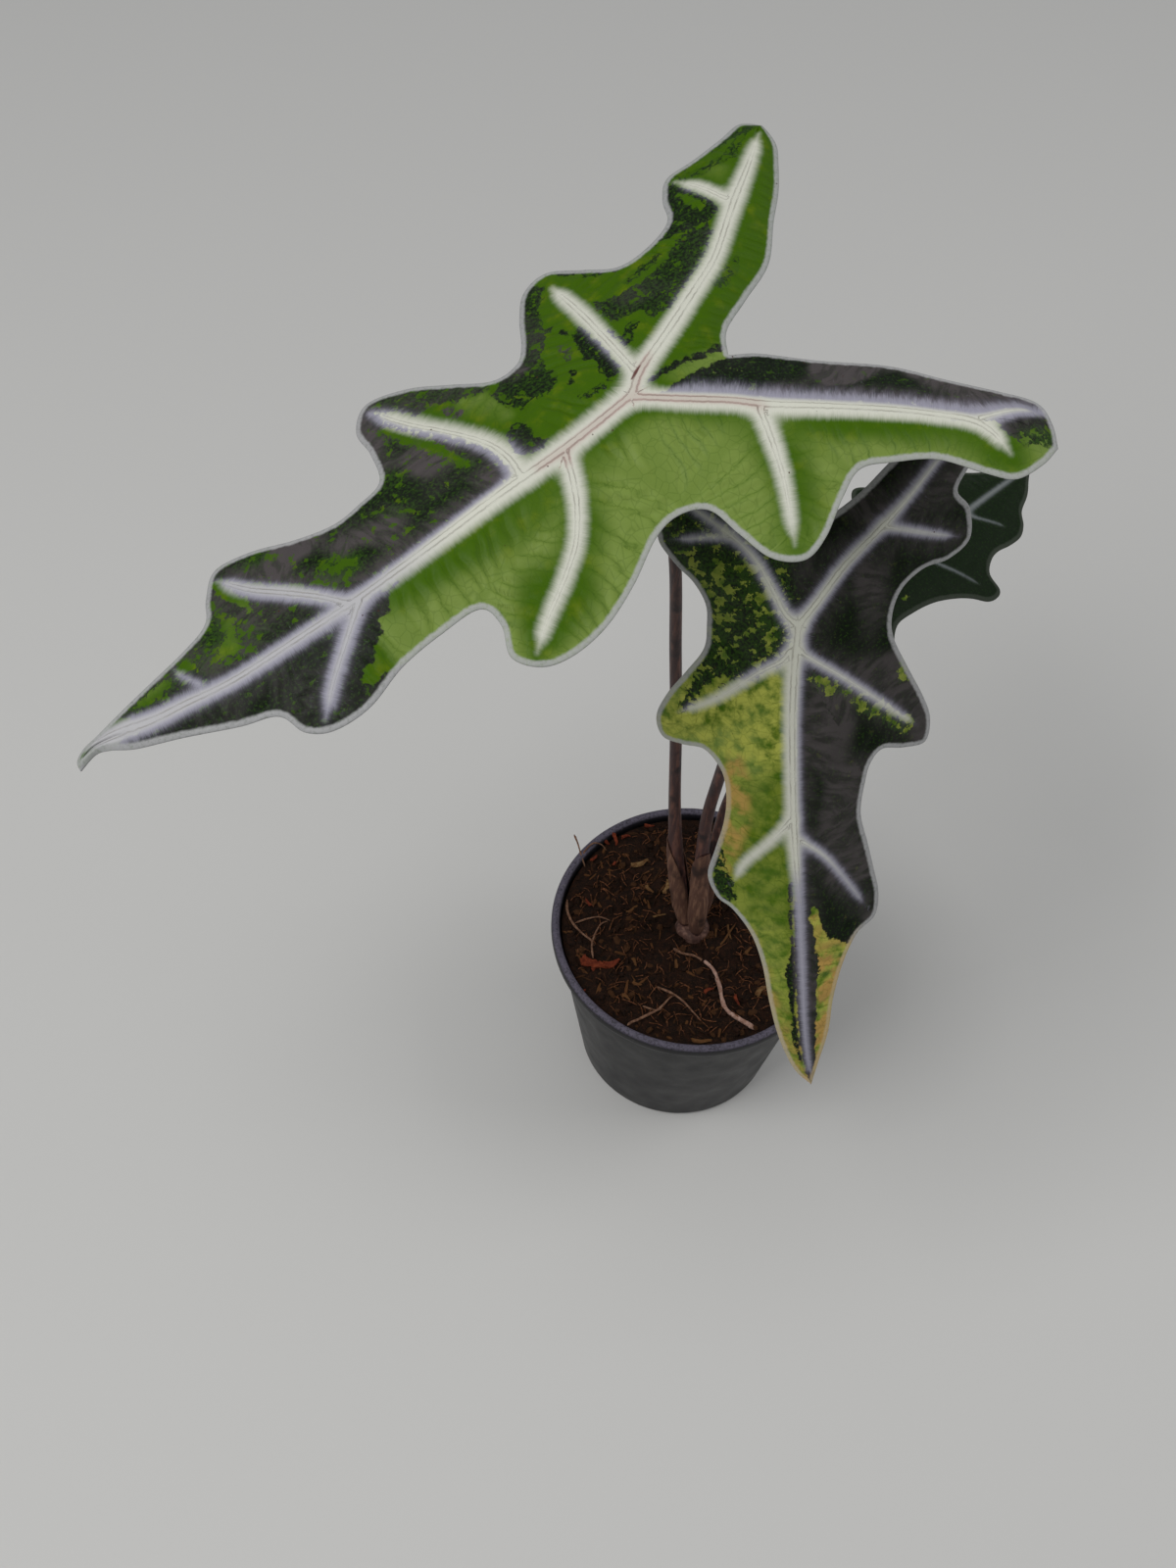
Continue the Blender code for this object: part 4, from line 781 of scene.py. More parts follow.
    # the vein's own body: a fine ridge between two tracks, flushed pink near the stalk
    halfWidth = node("Math", (centre, field["veinGap"]), **minus)
    wobble = node("Math", (tuft, 0.7, centre), **fused)
    wobble = node("Math", (halfWidth, -0.27, wobble), **fused)
    offTrack = node("Math", (wobble, 0.35), **minus)
    offTrack = node("Math", (offTrack,), operation="ABSOLUTE")
    inside = node("MapRange", (field["veinGap"], -0.9, -1.9), **smooth)
    track = node("MapRange", (offTrack, 0.32, 0.05, 0.0, inside), **smooth)
    flush = node("MapRange", (offTrack, 0.8, 0.1, 0.0, field["blush"]), **smooth)
    wide = node("MapRange", (field["veinGap"], -0.8, -2.6, 0.0, 0.45), **smooth)
    wide = node("Math", (wide, field["blush"]), **times)
    flush = node("Math", (flush, wide), operation="MAXIMUM")
    strength = node("MapRange", (noise["stain"], 0.35, 0.65, 0.05, 0.45), **smooth)
    ink = node("Math", (track, strength), **times)
    veinColour = look["cream"]
    for cover, key in ((lilac, "lilac"), (field["greyed"], "lilac"), (dusk, "dusk"), (flush, "blush"),
                       (ink, "track")):
        veinColour = node("Mix", {0: cover, 6: veinColour, 7: look[key]}, **rgba)

    # pale rim, dry and straw-coloured where the leaf is ageing
    rimNear = node("Math", (noise["grain"], 0.9, field["marginNear"]), **fused)
    rim = node("MapRange", (rimNear, 2.7, 1.7, 0.0, 0.84), **smooth)
    rimColour = node("Mix", {0: field["ochre"], 6: look["rim"], 7: look["dryRim"]}, **rgba)
    grey = node("MapRange", (noise["cell"], 0.45, 0.75, 0.0, 0.35), **smooth)
    rimColour = node("Mix", {0: grey, 6: rimColour, 7: tissue}, **rgba)

    # a short dark scar by the joint, and red-brown specks half a millimetre wide
    scar = node("MapRange", (field["scarNear"], 0.75, 0.3, 0.0, 0.9), **smooth)
    dots = node("TexVoronoi", {"Vector": flat, "Scale": 0.17})
    chance = node("SeparateColor", (dots.node.outputs["Color"],))
    likely = node("Math", (band, -0.35, 0.85), **fused)
    chosen = node("Math", (chance, likely), operation="GREATER_THAN")
    dot = node("MapRange", (dots, 0.06, 0.03, 0.0, chosen), **smooth)

    surface = tissue
    for cover, colour in ((band, veinColour), (rim, rimColour), (scar, look["scar"]), (dot, look["speck"])):
        surface = node("Mix", {0: cover, 6: surface, 7: colour}, **rgba)

    rough = node("MapRange", (noise["medium"], 0.3, 0.7, 0.42, 0.56))
    rough = node("Math", (band, 0.12, rough), **fused)
    # relief in millimetres
    height = node("Math", (noise["fine"], 0.04), **times)
    for part, depth in ((track, -0.14), (line, -0.08), (noise["medium"], 0.2), (noise["cell"], 0.05)):
        height = node("Math", (part, depth, height), **fused)
    linkShader(shader, {"Base Color": surface, "Roughness": rough}, height, 1.0)
    return mat


leafTop = makeLeafMaterial("variegated_leaf_cuticle", leafTopLook)
leafUnder = makeLeafMaterial("leaf_underside", leafUnderLook)
shadedLeafTop = makeLeafMaterial("shaded_dark_leaf_cuticle", shadedLeafLook)
for name, leaf, mat, slotName in (("large_blade", largeLeaf, leafTop, "blade_variegated"),
                                  ("front_blade", frontLeaf, leafTop, "blade_variegated"),
                                  ("small_blade", smallLeaf, shadedLeafTop, "blade_dark_green")):
    blade = buildBlade(name, leaf, [mat, leafUnder])
    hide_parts("blade_" + name.split("_")[0])
print("leaves done")


# pot
# Polypropylene, injection moulded: satin black, with dried water splashes high up, and a grey-purple bloom on
# the top of the rim that is painted highlight and dust

potShape = {"height": 95.0, "rim": 60.0, "neck": 56.6, "base": 43.0, "wall": 1.2, "floor": 1.8,
            "rimDepth": 6.0, "steps": 144, "drains": 6, "drainCircle": 30.0, "drainRadius": 4.0}
potLook = {"black": "#0A0A0B", "rimHighlightDust": "#5A5562", "lime": "#7D7A7C", "scuff": "#171719"}


def objectPlace(node):
    # object coordinates in millimetres
    place = node("TexCoord", (), "Object")
    return node("VectorMath", {0: place, "Scale": 1000.0}, operation="SCALE")


def makePotMaterial():
    mat, node, shader = startMaterial("black_polypropylene", {"IOR": 1.49, "Specular IOR Level": 0.25})
    place = objectPlace(node)
    height = node("SeparateXYZ", (place,), "Z")
    facing = node("SeparateXYZ", (node("NewGeometry", (), "Normal"),), "Z")
    # noise sizes in mm: cloudy scuffs 11, splashes 2.6, rim dust and painted highlight 0.9
    cloud = node("TexNoise", {"Vector": place, "Scale": 1 / 11.0, "Detail": 4.0})
    drops = node("TexNoise", {"Vector": place, "Scale": 1 / 2.6, "Detail": 5.0, "Roughness": 0.7})
    fine = node("TexNoise", {"Vector": place, "Scale": 1 / 0.9, "Detail": 4.0, "Roughness": 0.65})
    scuffed = node("MapRange", (cloud, 0.4, 0.75), **smooth)
    colour = node("Mix", {0: scuffed, 6: potLook["black"], 7: potLook["scuff"]}, **rgba)
    # the upward-facing top of the rim is lightened grey-purple: painted highlight, mixed with dust
    up = node("MapRange", (facing, 0.05, 0.7), **smooth)
    lip = node("MapRange", (height, 91.0, 94.6, 0.0, up), **smooth)
    rimHighlightDust = node("MapRange", (fine, 0.2, 0.62, 0.0, lip), **smooth)
    colour = node("Mix", {0: rimHighlightDust, 6: colour, 7: potLook["rimHighlightDust"]}, **rgba)
    high = node("MapRange", (height, 60.0, 95.0, 0.0, 0.3), **smooth)
    splash = node("MapRange", (drops, 0.6, 0.72, 0.0, high), **smooth)
    colour = node("Mix", {0: splash, 6: colour, 7: potLook["lime"]}, **rgba)
    rough = node("MapRange", (cloud, 0.3, 0.7, 0.36, 0.5))
    rough = node("Math", (rimHighlightDust, 0.3, rough), **fused)
    linkShader(shader, {"Base Color": colour, "Roughness": rough}, fine, 0.04)
    return mat


def innerRadius(height):
    share = (height - potShape["floor"]) / (potShape["height"] - potShape["rimDepth"] - potShape["floor"])
    return potShape["base"] - potShape["wall"] + (potShape["neck"] - potShape["base"]) * share


def buildPot():
    shape = potShape
    top, rim, neck, base, floor = shape["height"], shape["rim"], shape["neck"], shape["base"], shape["floor"]
    ledge = top - shape["rimDepth"]
    # outside from the foot up, over the rolled rim, and down inside to the floor
    profile = [(0, 0), (base - 2, 0), (base - 0.7, 0.4), (base, 2), (neck, ledge - 0.6),
               (neck + 0.3, ledge - 0.4), (rim - 1.2, ledge - 0.35), (rim - 0.6, ledge - 0.1),
               (rim - 0.2, ledge + 0.6), (rim, ledge + 2), (rim, top - 2), (rim - 0.2, top - 1.1),
               (rim - 0.7, top - 0.4), (rim - 1.5, top - 0.03), (neck + 1.4, top), (neck + 0.6, top - 0.25),
               (neck + 0.1, top - 0.8), (neck - 0.2, top - 1.6), (neck - 0.5, ledge + 1.6),
               (innerRadius(ledge), ledge), (innerRadius(floor), floor), (0, floor)]
    pot = addObject("nursery_pot", turned(profile, shape["steps"]), [makePotMaterial()])
    bm = bmesh.new()
    for i in range(shape["drains"]):
        angle = math.radians(15 + 360 * i / shape["drains"])
        spot = Vector((math.cos(angle), math.sin(angle), 0)) * (shape["drainCircle"] * mm)
        radius = shape["drainRadius"] * mm
        bmesh.ops.create_cone(bm, cap_ends=True, segments=32, radius1=radius, radius2=radius, depth=8 * mm,
                              matrix=Matrix.Translation(spot))
    cutter = plainObject("drains", bm)
    cut = pot.modifiers.new("Drains", "BOOLEAN")
    cut.operation, cut.solver, cut.object = "DIFFERENCE", "EXACT", cutter
    bakeModifiers(pot)
    bpy.data.objects.remove(cutter, do_unlink=True)
    softEdges(pot, 32.0)
    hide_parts("pot")


def bakeModifiers(obj):
    graph = bpy.context.evaluated_depsgraph_get()
    mesh = bpy.data.meshes.new_from_object(obj.evaluated_get(graph))
    obj.modifiers.clear()
    obj.data = mesh


def softEdges(obj, angle):
    bm = bmesh.new()
    bm.from_mesh(obj.data)
    for face in bm.faces:
        face.smooth = True
    for edge in bm.edges:
        edge.smooth = edge.calc_face_angle(math.pi) < math.radians(angle)
    bm.to_mesh(obj.data)
    bm.free()


buildPot()
print("pot done")


# soil
# Coir and fine bark compost: fibrous, dull, with paler chips, straw and a few live roots

soilShape = {"top": 91.0, "mound": 2.0, "roughness": 0.8, "grid": 170,
             "crumbs": 420, "splinters": 460, "fibres": 520, "fibreReach": 53.5,
             "crumbRing": (54.0, 7.0), "fibreRing": (52.0, 8.0)}
# lumps of the surface in mm, each with the seed of its noise
soilLumps = ((3.2, 11), (1.7, 12), (0.8, 13))
soilLook = {"dark": "#140C07", "brown": "#28160D", "tan": "#5A3A20", "straw": "#94784F",
            "strawPale": "#C9AC80", "bark": "#5A2416", "red": "#7E3A22", "redPale": "#A0583A",
            "fibreDark": "#37200F", "fibre": "#86563A", "fibrePale": "#8A5A3A",
            "rootDark": "#5E4030", "root": "#8E6C56", "rootPale": "#B09680",
            "highlitDark": "#8A6656", "highlit": "#B8988A", "highlitPale": "#D8C2B0"}


def soilHeight(x, y):
    spread = np.hypot(x, y) / potShape["neck"]
    rough = np.sin(0.31 * x + 1.0) * np.cos(0.27 * y) + 0.6 * np.sin(0.53 * y - 0.19 * x + 2.0)
    mound = soilShape["mound"] * (1.0 - spread ** 2)
    return soilShape["top"] + mound + soilShape["roughness"] * rough * (1.0 - spread ** 4)


def crumbHeight(x, y):
    spots = np.column_stack([x, y])
    lumps = sum(size * (valueNoise(spots, size * 2.2, seed) - 0.5) for size, seed in soilLumps)
    return soilHeight(x, y) + 0.7 * lumps


def makeSoilMaterial(name, size, *keys):
    # size of the main mottling in mm, then the keys of its dark, light and fleck colours
    dark, light, fleck = (soilLook[key] for key in keys)
    mat, node, shader = startMaterial(name, {"Roughness": 0.95, "Specular IOR Level": 0.15})
    place = objectPlace(node)
    tone = node("Attribute", (), "Fac", attribute_name="tone")
    coarse = node("TexNoise", {"Vector": place, "Scale": 1 / size, "Detail": 5.0, "Roughness": 0.65})
    fine = node("TexNoise", {"Vector": place, "Scale": 4.5 / size, "Detail": 4.0, "Roughness": 0.7})
    lighter = node("MapRange", (coarse, 0.35, 0.7), **smooth)
    colour = node("Mix", {0: lighter, 6: dark, 7: light}, **rgba)
    flecks = node("MapRange", (fine, 0.56, 0.7, 0.0, 0.7), **smooth)
    colour = node("Mix", {0: flecks, 6: colour, 7: fleck}, **rgba)
    dry = node("MapRange", (tone, 0.75, 1.0), **smooth)
    warm = node("Mix", {0: dry, 6: soilLook["tan"], 7: soilLook["straw"]}, **rgba)
    share = node("MapRange", (tone, 0.25, 0.85), **smooth)
    colour = node("Mix", {0: share, 6: colour, 7: warm}, **rgba)
    linkShader(shader, {"Base Color": colour}, fine, 0.5)
    return mat


coirMix = makeSoilMaterial("coir_compost", 2.4, "dark", "brown", "tan")
strawBits = makeSoilMaterial("dry_straw", 1.6, "tan", "straw", "strawPale")
barkBits = makeSoilMaterial("composted_bark", 1.5, "bark", "red", "redPale")
fibreBits = makeSoilMaterial("coir_fibre", 1.2, "fibreDark", "fibre", "fibrePale")
rootSkin = makeSoilMaterial("live_root", 1.4, "rootDark", "root", "rootPale")
# a paler copy of the root skin, standing for the highlight on the front root: painted highlight
highlitRoot = makeSoilMaterial("highlit_root", 2.6, "highlitDark", "highlit", "highlitPale")


def buildSoil():
    edge = innerRadius(soilShape["top"]) - 0.25
    bm = bmesh.new()
    count = soilShape["grid"]
    grid = bmesh.ops.create_grid(bm, x_segments=count, y_segments=count, size=1.0)["verts"]
    u, v = np.array([(vert.co.x, vert.co.y) for vert in grid]).T
    x, y = u * np.sqrt(1 - v ** 2 / 2) * edge, v * np.sqrt(1 - u ** 2 / 2) * edge
    inward = smoothStep(0.0, 5.0, edge - np.hypot(x, y))
    z = soilShape["top"] + (crumbHeight(x, y) - soilShape["top"]) * inward
    for vert, spot in zip(grid, np.column_stack([x, y, z]) * mm):
        vert.co = spot
    border = [e for e in bm.edges if e.is_boundary]
    down = bmesh.ops.extrude_edge_only(bm, edges=border)["geom"]
    foot = [item for item in down if isinstance(item, bmesh.types.BMVert)]
    shrink = (innerRadius(potShape["floor"]) - 0.3) / edge
    for vert in foot:
        vert.co = (vert.co.x * shrink, vert.co.y * shrink, (potShape["floor"] + 0.3) * mm)
    bmesh.ops.contextual_create(bm, geom=[e for e in bm.edges if e.is_boundary])
    bmesh.ops.recalc_face_normals(bm, faces=bm.faces)
    soil = addObject("soil_bed", bm, [coirMix])
    softEdges(soil, 60.0)
    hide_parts("soil")


def scatter(rng, count, reach, clear):
    # places on a ring between clear and reach, in mm
    spots = []
    while len(spots) < count:
        x, y = rng.uniform(-reach, reach, 2)
        if clear < math.hypot(x, y) < reach:
            spots.append((x, y))
    return np.array(spots)


def laid(place, turn, tilt, halfSizes):
    # from a shape of half size 1 to its place in mm, turned about the upright axis and tilted
    return (Matrix.Translation(Vector(place) * mm) @ Matrix.Rotation(turn, 4, "Z")
            @ Matrix.Rotation(tilt, 4, "Y") @ Matrix.Diagonal((*(Vector(halfSizes) * mm), 1.0)))


def buildCrumbs():
    # irregular lumps and flat splinters of bark, each with its own tone
    rng = np.random.default_rng(21)
    bm = bmesh.new()
    tone = bm.verts.layers.float.new("tone")
    spots = scatter(rng, soilShape["crumbs"] + soilShape["splinters"], *soilShape["crumbRing"])
    heights = crumbHeight(spots[:, 0], spots[:, 1])
    for index, ((x, y), z) in enumerate(zip(spots, heights)):
        if index < soilShape["crumbs"]:
            size = rng.uniform(0.5, 1.7)
            stretch = (size * rng.uniform(1.0, 1.9), size, size * rng.uniform(0.45, 0.8))
            made = bmesh.ops.create_icosphere(bm, subdivisions=1, radius=1.0)["verts"]
            value = rng.choice([0.0, 0.12, 0.3, 0.5])
        else:
            stretch = (rng.uniform(1.2, 4.2), rng.uniform(0.3, 0.8), rng.uniform(0.15, 0.4))
            made = bmesh.ops.create_cone(bm, cap_ends=True, segments=6, radius1=1.0, radius2=0.75,
                                         depth=2.0)["verts"]
            value = rng.choice([0.0, 0.2, 0.3, 0.45, 0.7])
        for vert in made:
            vert.co *= 1.0 + rng.uniform(-0.22, 0.22)
            vert[tone] = value
        place = (x, y, z + stretch[2] * 0.3)
        bmesh.ops.transform(bm, matrix=laid(place, rng.uniform(0, math.tau), rng.normal(0, 0.35), stretch),
                            verts=made)
    bmesh.ops.recalc_face_normals(bm, faces=bm.faces)
    addObject("soil_crumbs", bm, [coirMix])


# strands: radius at the start, then rows of x, y and height above the soil, in mm
# chips: x, y, three half sizes, turn and tilt in degrees, tone
liveRoots = {
    "front": (1.15, [(28.5, -46, 0.9), (25, -44, 1), (21, -42, 0.9), (16, -38.5, 0.8), (13.5, -33, 0.7),
        (12.5, -27, 0.8), (10, -21, 0.9), (6.5, -17, 0.8), (3, -14, -1)]),
    "collar": (0.7, [(-8, -11.5, -0.6), (-4, -14, 0.8), (2, -14.5, 0.9), (7, -17, 0.2)]),
    "left": (0.6, [(-54, 9, 0.6), (-53.5, 3, 0.9), (-50.5, -3, 0.8), (-46.5, -7.5, 0.6), (-42, -10.5, 0.5),
        (-41, -13, -0.4)]),
    "leftFork": (0.5, [(-41, -19, 0.4), (-42, -13, 0.9), (-41, -7.5, 0.8), (-39, -3, 0.6),
        (-36, -0.5, -0.3)]),
    "leftCross": (0.4, [(-50, -2.5, 0.8), (-45, -0.5, 1.4), (-40, 0.5, 1.2), (-35, -0.5, 0.2)]),
    "low": (0.65, [(-24.8, -51, 4.6), (-23, -48.5, 2.8), (-19, -45.5, 0.9), (-12, -40.5, 0.6),
        (-8, -35.5, 0.8), (-5, -32.5, -0.5)]),
    "lowFork": (0.45, [(-19, -39.5, 0.3), (-14, -41.5, 0.8), (-11, -40.5, 0.2)]),
    "cross": (0.5, [(-17, -29.5, 0), (-9, -32.5, 1.2), (-4, -35.5, 1.6), (1, -39.5, 0.9), (6, -44.5, 0)]),
    "rimThread": (0.45, [(-53.5, 38.5, 7.5), (-51.5, 34.5, 5.8), (-49.5, 29.5, 3.6), (-47.5, 26, 0.4)]),
    "rimCurl": (0.4, [(-50, 28.5, 1.6), (-48.2, 32, 4.4), (-45, 36, 4.6), (-41.5, 36.5, 3.4),
        (-39, 35.5, 0.6)]),
}
strawChips = [
    (14.5, -4, 7.6, 0.6, 0.4, 62, 6, 1), (10, -0.5, 4.4, 0.55, 0.4, 92, -4, 0.9),
    (16, -2.5, 4.4, 0.5, 0.4, -76, 5, 0.8), (24.5, -8.5, 2.6, 0.9, 0.4, 52, 4, 1),
    (6.2, -53.2, 3.9, 1, 0.6, 5, 0, 1), (-6, -18.5, 2.2, 0.8, 0.5, 88, 8, 1),
    (-26, 6.5, 2.8, 0.9, 0.5, 44, 6, 0.95), (-23.5, -19.5, 1.8, 0.8, 0.5, -60, 4, 1),
    (-26, -36.5, 1.8, 0.9, 0.4, -30, 5, 1), (-22, -30, 1.8, 0.8, 0.4, -20, 0, 0.9),
    (-19.5, 16, 2.2, 0.9, 0.5, -45, 6, 0.8), (-15, 4, 4.6, 0.6, 0.4, 20, 3, 0.7),
    (-24, 29.5, 3.6, 1.4, 0.7, 30, 5, 0.6), (30, -27.5, 3, 1.4, 0.7, 45, 5, 0.7),
    (14, 30.5, 3.4, 1.2, 0.6, -35, 6, 0.6), (38, 10.5, 3.2, 1.2, 0.6, 20, 4, 0.7),
    (-12, 18.5, 3, 1.2, 0.6, 80, -5, 0.6), (34, 26.5, 3, 0.9, 0.5, 70, 4, 0.9),
]
redChips = [
    (-42.5, -21, 3.4, 2.4, 1.5, -20, 10, 0), (-38, -22.5, 3.2, 2, 1.4, 15, -4, 0.05),
    (-32.8, -21.2, 3.2, 1.8, 1.3, 24, 5, 0), (-39.5, 40, 2, 1, 0.7, -40, 30, 0.3),
    (-35.5, 41, 2.6, 0.9, 0.6, -75, 25, 0.2), (-31, 43.5, 1.8, 0.8, 0.6, 20, 10, 0.3),
    (-21, 49.5, 2, 0.9, 0.6, 10, 6, 0.2), (-44, 30.5, 1.8, 0.8, 0.5, 60, 5, 0.3),
    (40, -15.5, 2.2, 1, 0.7, 30, 4, 0.2), (-44, -36, 1.8, 0.9, 0.6, 70, 4, 0.2),
    (-45, 8, 1.8, 0.8, 0.5, 120, 4, 0.2), (-35, 29, 1.8, 0.7, 0.5, 80, 4, 0.3),
    (8, -30, 2, 0.9, 0.6, 40, 4, 0.3), (20, -33, 2.2, 0.8, 0.6, -70, 4, 0.3),
    (33, -16, 2.6, 0.8, 0.6, 75, 4, 0.3),
]


def addStrands(name, rows, sides, mat):
    # rows of x, y, z and radius in mm, one list for each strand, swept as one curve
    curve = bpy.data.curves.new(name, "CURVE")
    curve.dimensions = "3D"
    curve.bevel_depth = mm
    curve.bevel_resolution = sides
    curve.use_fill_caps = True
    for path in rows:
        spline = curve.splines.new("POLY")
        spline.points.add(len(path) - 1)
        for point, row in zip(spline.points, path):
            point.co = (row[0] * mm, row[1] * mm, row[2] * mm, 1.0)
            point.radius = row[3]
    holder = bpy.data.objects.new(name + "_path", curve)
    scene.collection.objects.link(holder)
    mesh = bpy.data.meshes.new_from_object(holder.evaluated_get(bpy.context.evaluated_depsgraph_get()))
    bpy.data.objects.remove(holder, do_unlink=True)
    bpy.data.curves.remove(curve)
    bm = bmesh.new()
    bm.from_mesh(mesh)
    bpy.data.meshes.remove(mesh)
    for face in bm.faces:
        face.smooth = True
    return addObject(name, bm, [mat])


def buildRoots():
    rows = {}
    for key, (radius, points) in liveRoots.items():
        path = smoothPath(points, 8)
        share = np.linspace(0, 1, len(path))
        z = soilHeight(path[:, 0], path[:, 1]) + path[:, 2]
        thick = radius * (0.7 + 0.45 * valueNoise(path[:, :2], 2.5, 31)) * (1.15 - 0.55 * share)
        thick = thick * np.minimum(1.0, 0.3 + 8.0 * np.minimum(share, 1.0 - share))
        rows[key] = np.column_stack([path[:, :2], z, thick])
    # the front root is drawn in the paler copy of the root skin: painted highlight
    addStrands("front_root", [rows.pop("front")], 3, highlitRoot)
    addStrands("live_roots", list(rows.values()), 3, rootSkin)
    rng = np.random.default_rng(41)
    rows = []
    for x, y in scatter(rng, soilShape["fibres"], *soilShape["fibreRing"]):
        heading, bend, length = rng.uniform(0, math.tau), rng.normal(0, 0.8), rng.uniform(2, 8)
        steps = np.linspace(0, 1, 7)
        angles = heading + bend * steps
        px = x + np.cumsum(np.cos(angles)) * length / len(steps)
        py = y + np.cumsum(np.sin(angles)) * length / len(steps)
        if np.hypot(px, py).max() < soilShape["fibreReach"]:
            pz = crumbHeight(px, py) + 0.5 + rng.uniform(0, 1.6) * np.sin(steps * math.pi)
            rows.append(np.column_stack([px, py, pz, np.full(len(steps), rng.uniform(0.1, 0.26))]))
    addStrands("coir_fibres", rows, 0, fibreBits)


def buildChips(name, chips, mat, seed):
    rng = np.random.default_rng(seed)
    bm = bmesh.new()
    tone = bm.verts.layers.float.new("tone")
    for x, y, halfX, halfY, halfZ, turn, tilt, value in chips:
        first = len(bm.verts)
        cube = bmesh.ops.create_cube(bm, size=2.0)["verts"]
        edges = dict.fromkeys(edge for vert in cube for edge in vert.link_edges)
        bmesh.ops.subdivide_edges(bm, edges=list(edges), cuts=3, use_grid_fill=True)
        bm.verts.ensure_lookup_table()
        made = bm.verts[first:]
        for vert in made:
            taper = 1.0 - 0.22 * (1.0 + vert.co.x) - 0.1 * vert.co.length_squared
            vert.co = Vector((vert.co.x, vert.co.y * taper, vert.co.z * taper))
            vert.co += Vector(rng.uniform(-0.2, 0.2, 3))
            vert.co.y += 0.35 * math.sin(2.6 * vert.co.x + turn)
            vert.co.z += 0.8 * math.sin(2.2 * vert.co.x) * halfZ / halfX
            vert[tone] = value * 0.78
        z = float(crumbHeight(np.array([x]), np.array([y]))[0]) + 0.7 + 0.5 * halfZ
        bmesh.ops.transform(bm, verts=made, matrix=laid((x, y, z), math.radians(turn), math.radians(tilt),
                                                        (halfX, halfY, halfZ)))
    bmesh.ops.recalc_face_normals(bm, faces=bm.faces)
    addObject(name, bm, [mat])


buildSoil()
buildCrumbs()
buildRoots()
buildChips("straw_chips", strawChips, strawBits, 51)
buildChips("bark_chips", redChips, barkBits, 52)
print("soil done")


# stem and stalks
# Living petiole: smooth purple-brown skin with darker streaks, and a dry papery sheath round its foot

stalkRows = {
    "large": [(-3.66, 0.01, 86.3, 2.5), (-3.66, 0.01, 98, 2.5), (-6, 2, 108, 3.3), (-8.5, 4.2, 122, 3.4),
        (-11, 6.5, 138, 3.1), (-14.5, 10, 172, 2.5), (-18, 12, 220, 2.35), (-22, 13, 266, 2.3),
        (-26, 10.5, 315, 2.2), (-32, 6.5, 355, 2.1), (-41.5, -3.5, 395, 2.1)],
    "front": [(1.39, -3.93, 86.3, 2.5), (1.39, -3.93, 98, 2.5), (0.8, -4.2, 108, 3.2),
        (0.2, -3.6, 122, 3.3), (-0.6, -0.6, 138, 3), (-1.5, 2, 172, 2.5), (0.5, -1, 210, 2.3),
        (4, -4.5, 260, 2.2), (8.5, -7.5, 305, 2.1), (11, -13, 331, 2.1)],
    "small": [(2.28, 2.42, 86.3, 2.5), (2.28, 2.42, 98, 2.5), (3.2, 4.6, 108, 3.1), (4, 7, 122, 3.1),
        (4.8, 11.5, 138, 2.8), (7.5, 18.5, 163, 2.3), (17, 31, 197, 2), (33, 48, 224, 1.9),
        (47, 61, 237, 1.8)],
}
stalkShape = {"neckDrops": (11.0, 6.0, 2.7), "head": {"large": 2.5, "front": 2.4, "small": 2.1}}
# for each sheath the way it opens, in degrees, and its length
sheathShape = {"start": 12.5, "grid": (70, 30), "paper": 0.3,
               "large": (150, 51.0), "front": (-60, 54.0), "small": (40, 37.5)}
stalkLook = {"skin": "#3D2725", "streak": "#6A4539", "shade": "#221516", "sheath": "#54382C",
             "sheathEdge": "#7C5A46", "sheathDark": "#2E1D16", "collar": "#4E342C", "collarPale": "#7E5E50"}


def makeStalkMaterial(name, roughness, *keys):
    skin, streak, shade = (stalkLook[key] for key in keys)
    mat, node, shader = startMaterial(name, {"Roughness": roughness, "Specular IOR Level": 0.35})
    place = objectPlace(node)
    # streaks 1.5 mm wide run up the stalk; darker bands come every 9 mm or so
    drawn = node("VectorMath", (place, (1.0, 1.0, 0.11)), **times)
    streaks = node("TexNoise", {"Vector": drawn, "Scale": 1 / 1.5, "Detail": 4.0, "Roughness": 0.6})
    bands = node("TexNoise", {"Vector": place, "Scale": 1 / 9.0, "Detail": 3.0})
    fine = node("TexNoise", {"Vector": place, "Scale": 1 / 0.6, "Detail": 3.0})
    streaky = node("MapRange", (streaks, 0.42, 0.72), **smooth)
    colour = node("Mix", {0: streaky, 6: skin, 7: streak}, **rgba)
    banded = node("MapRange", (bands, 0.5, 0.7), **smooth)
    colour = node("Mix", {0: banded, 6: colour, 7: shade}, **rgba)
    height = node("Math", (fine, 0.05), **times)
    height = node("Math", (streaks, 0.25, height), **fused)
    linkShader(shader, {"Base Color": colour}, height, 1.0)
    return mat


stalkSkin = makeStalkMaterial("petiole_skin", 0.45, "skin", "streak", "shade")
sheathSkin = makeStalkMaterial("papery_sheath", 0.8, "sheath", "sheathEdge", "sheathDark")
collarSkin = makeStalkMaterial("stem_bark", 0.75, "collar", "collarPale", "shade")


def frameAlong(path):
    # side directions that turn as little as possible along the path
    step = np.gradient(path, axis=0)
    step /= np.linalg.norm(step, axis=1)[:, None]
    side = np.zeros_like(path)
    last = np.array([1.0, 0.0, 0.0])
    for i, t in enumerate(step):
        last = last - t * (last @ t)
        last /= np.linalg.norm(last)
        side[i] = last
    return side, np.cross(step, side)


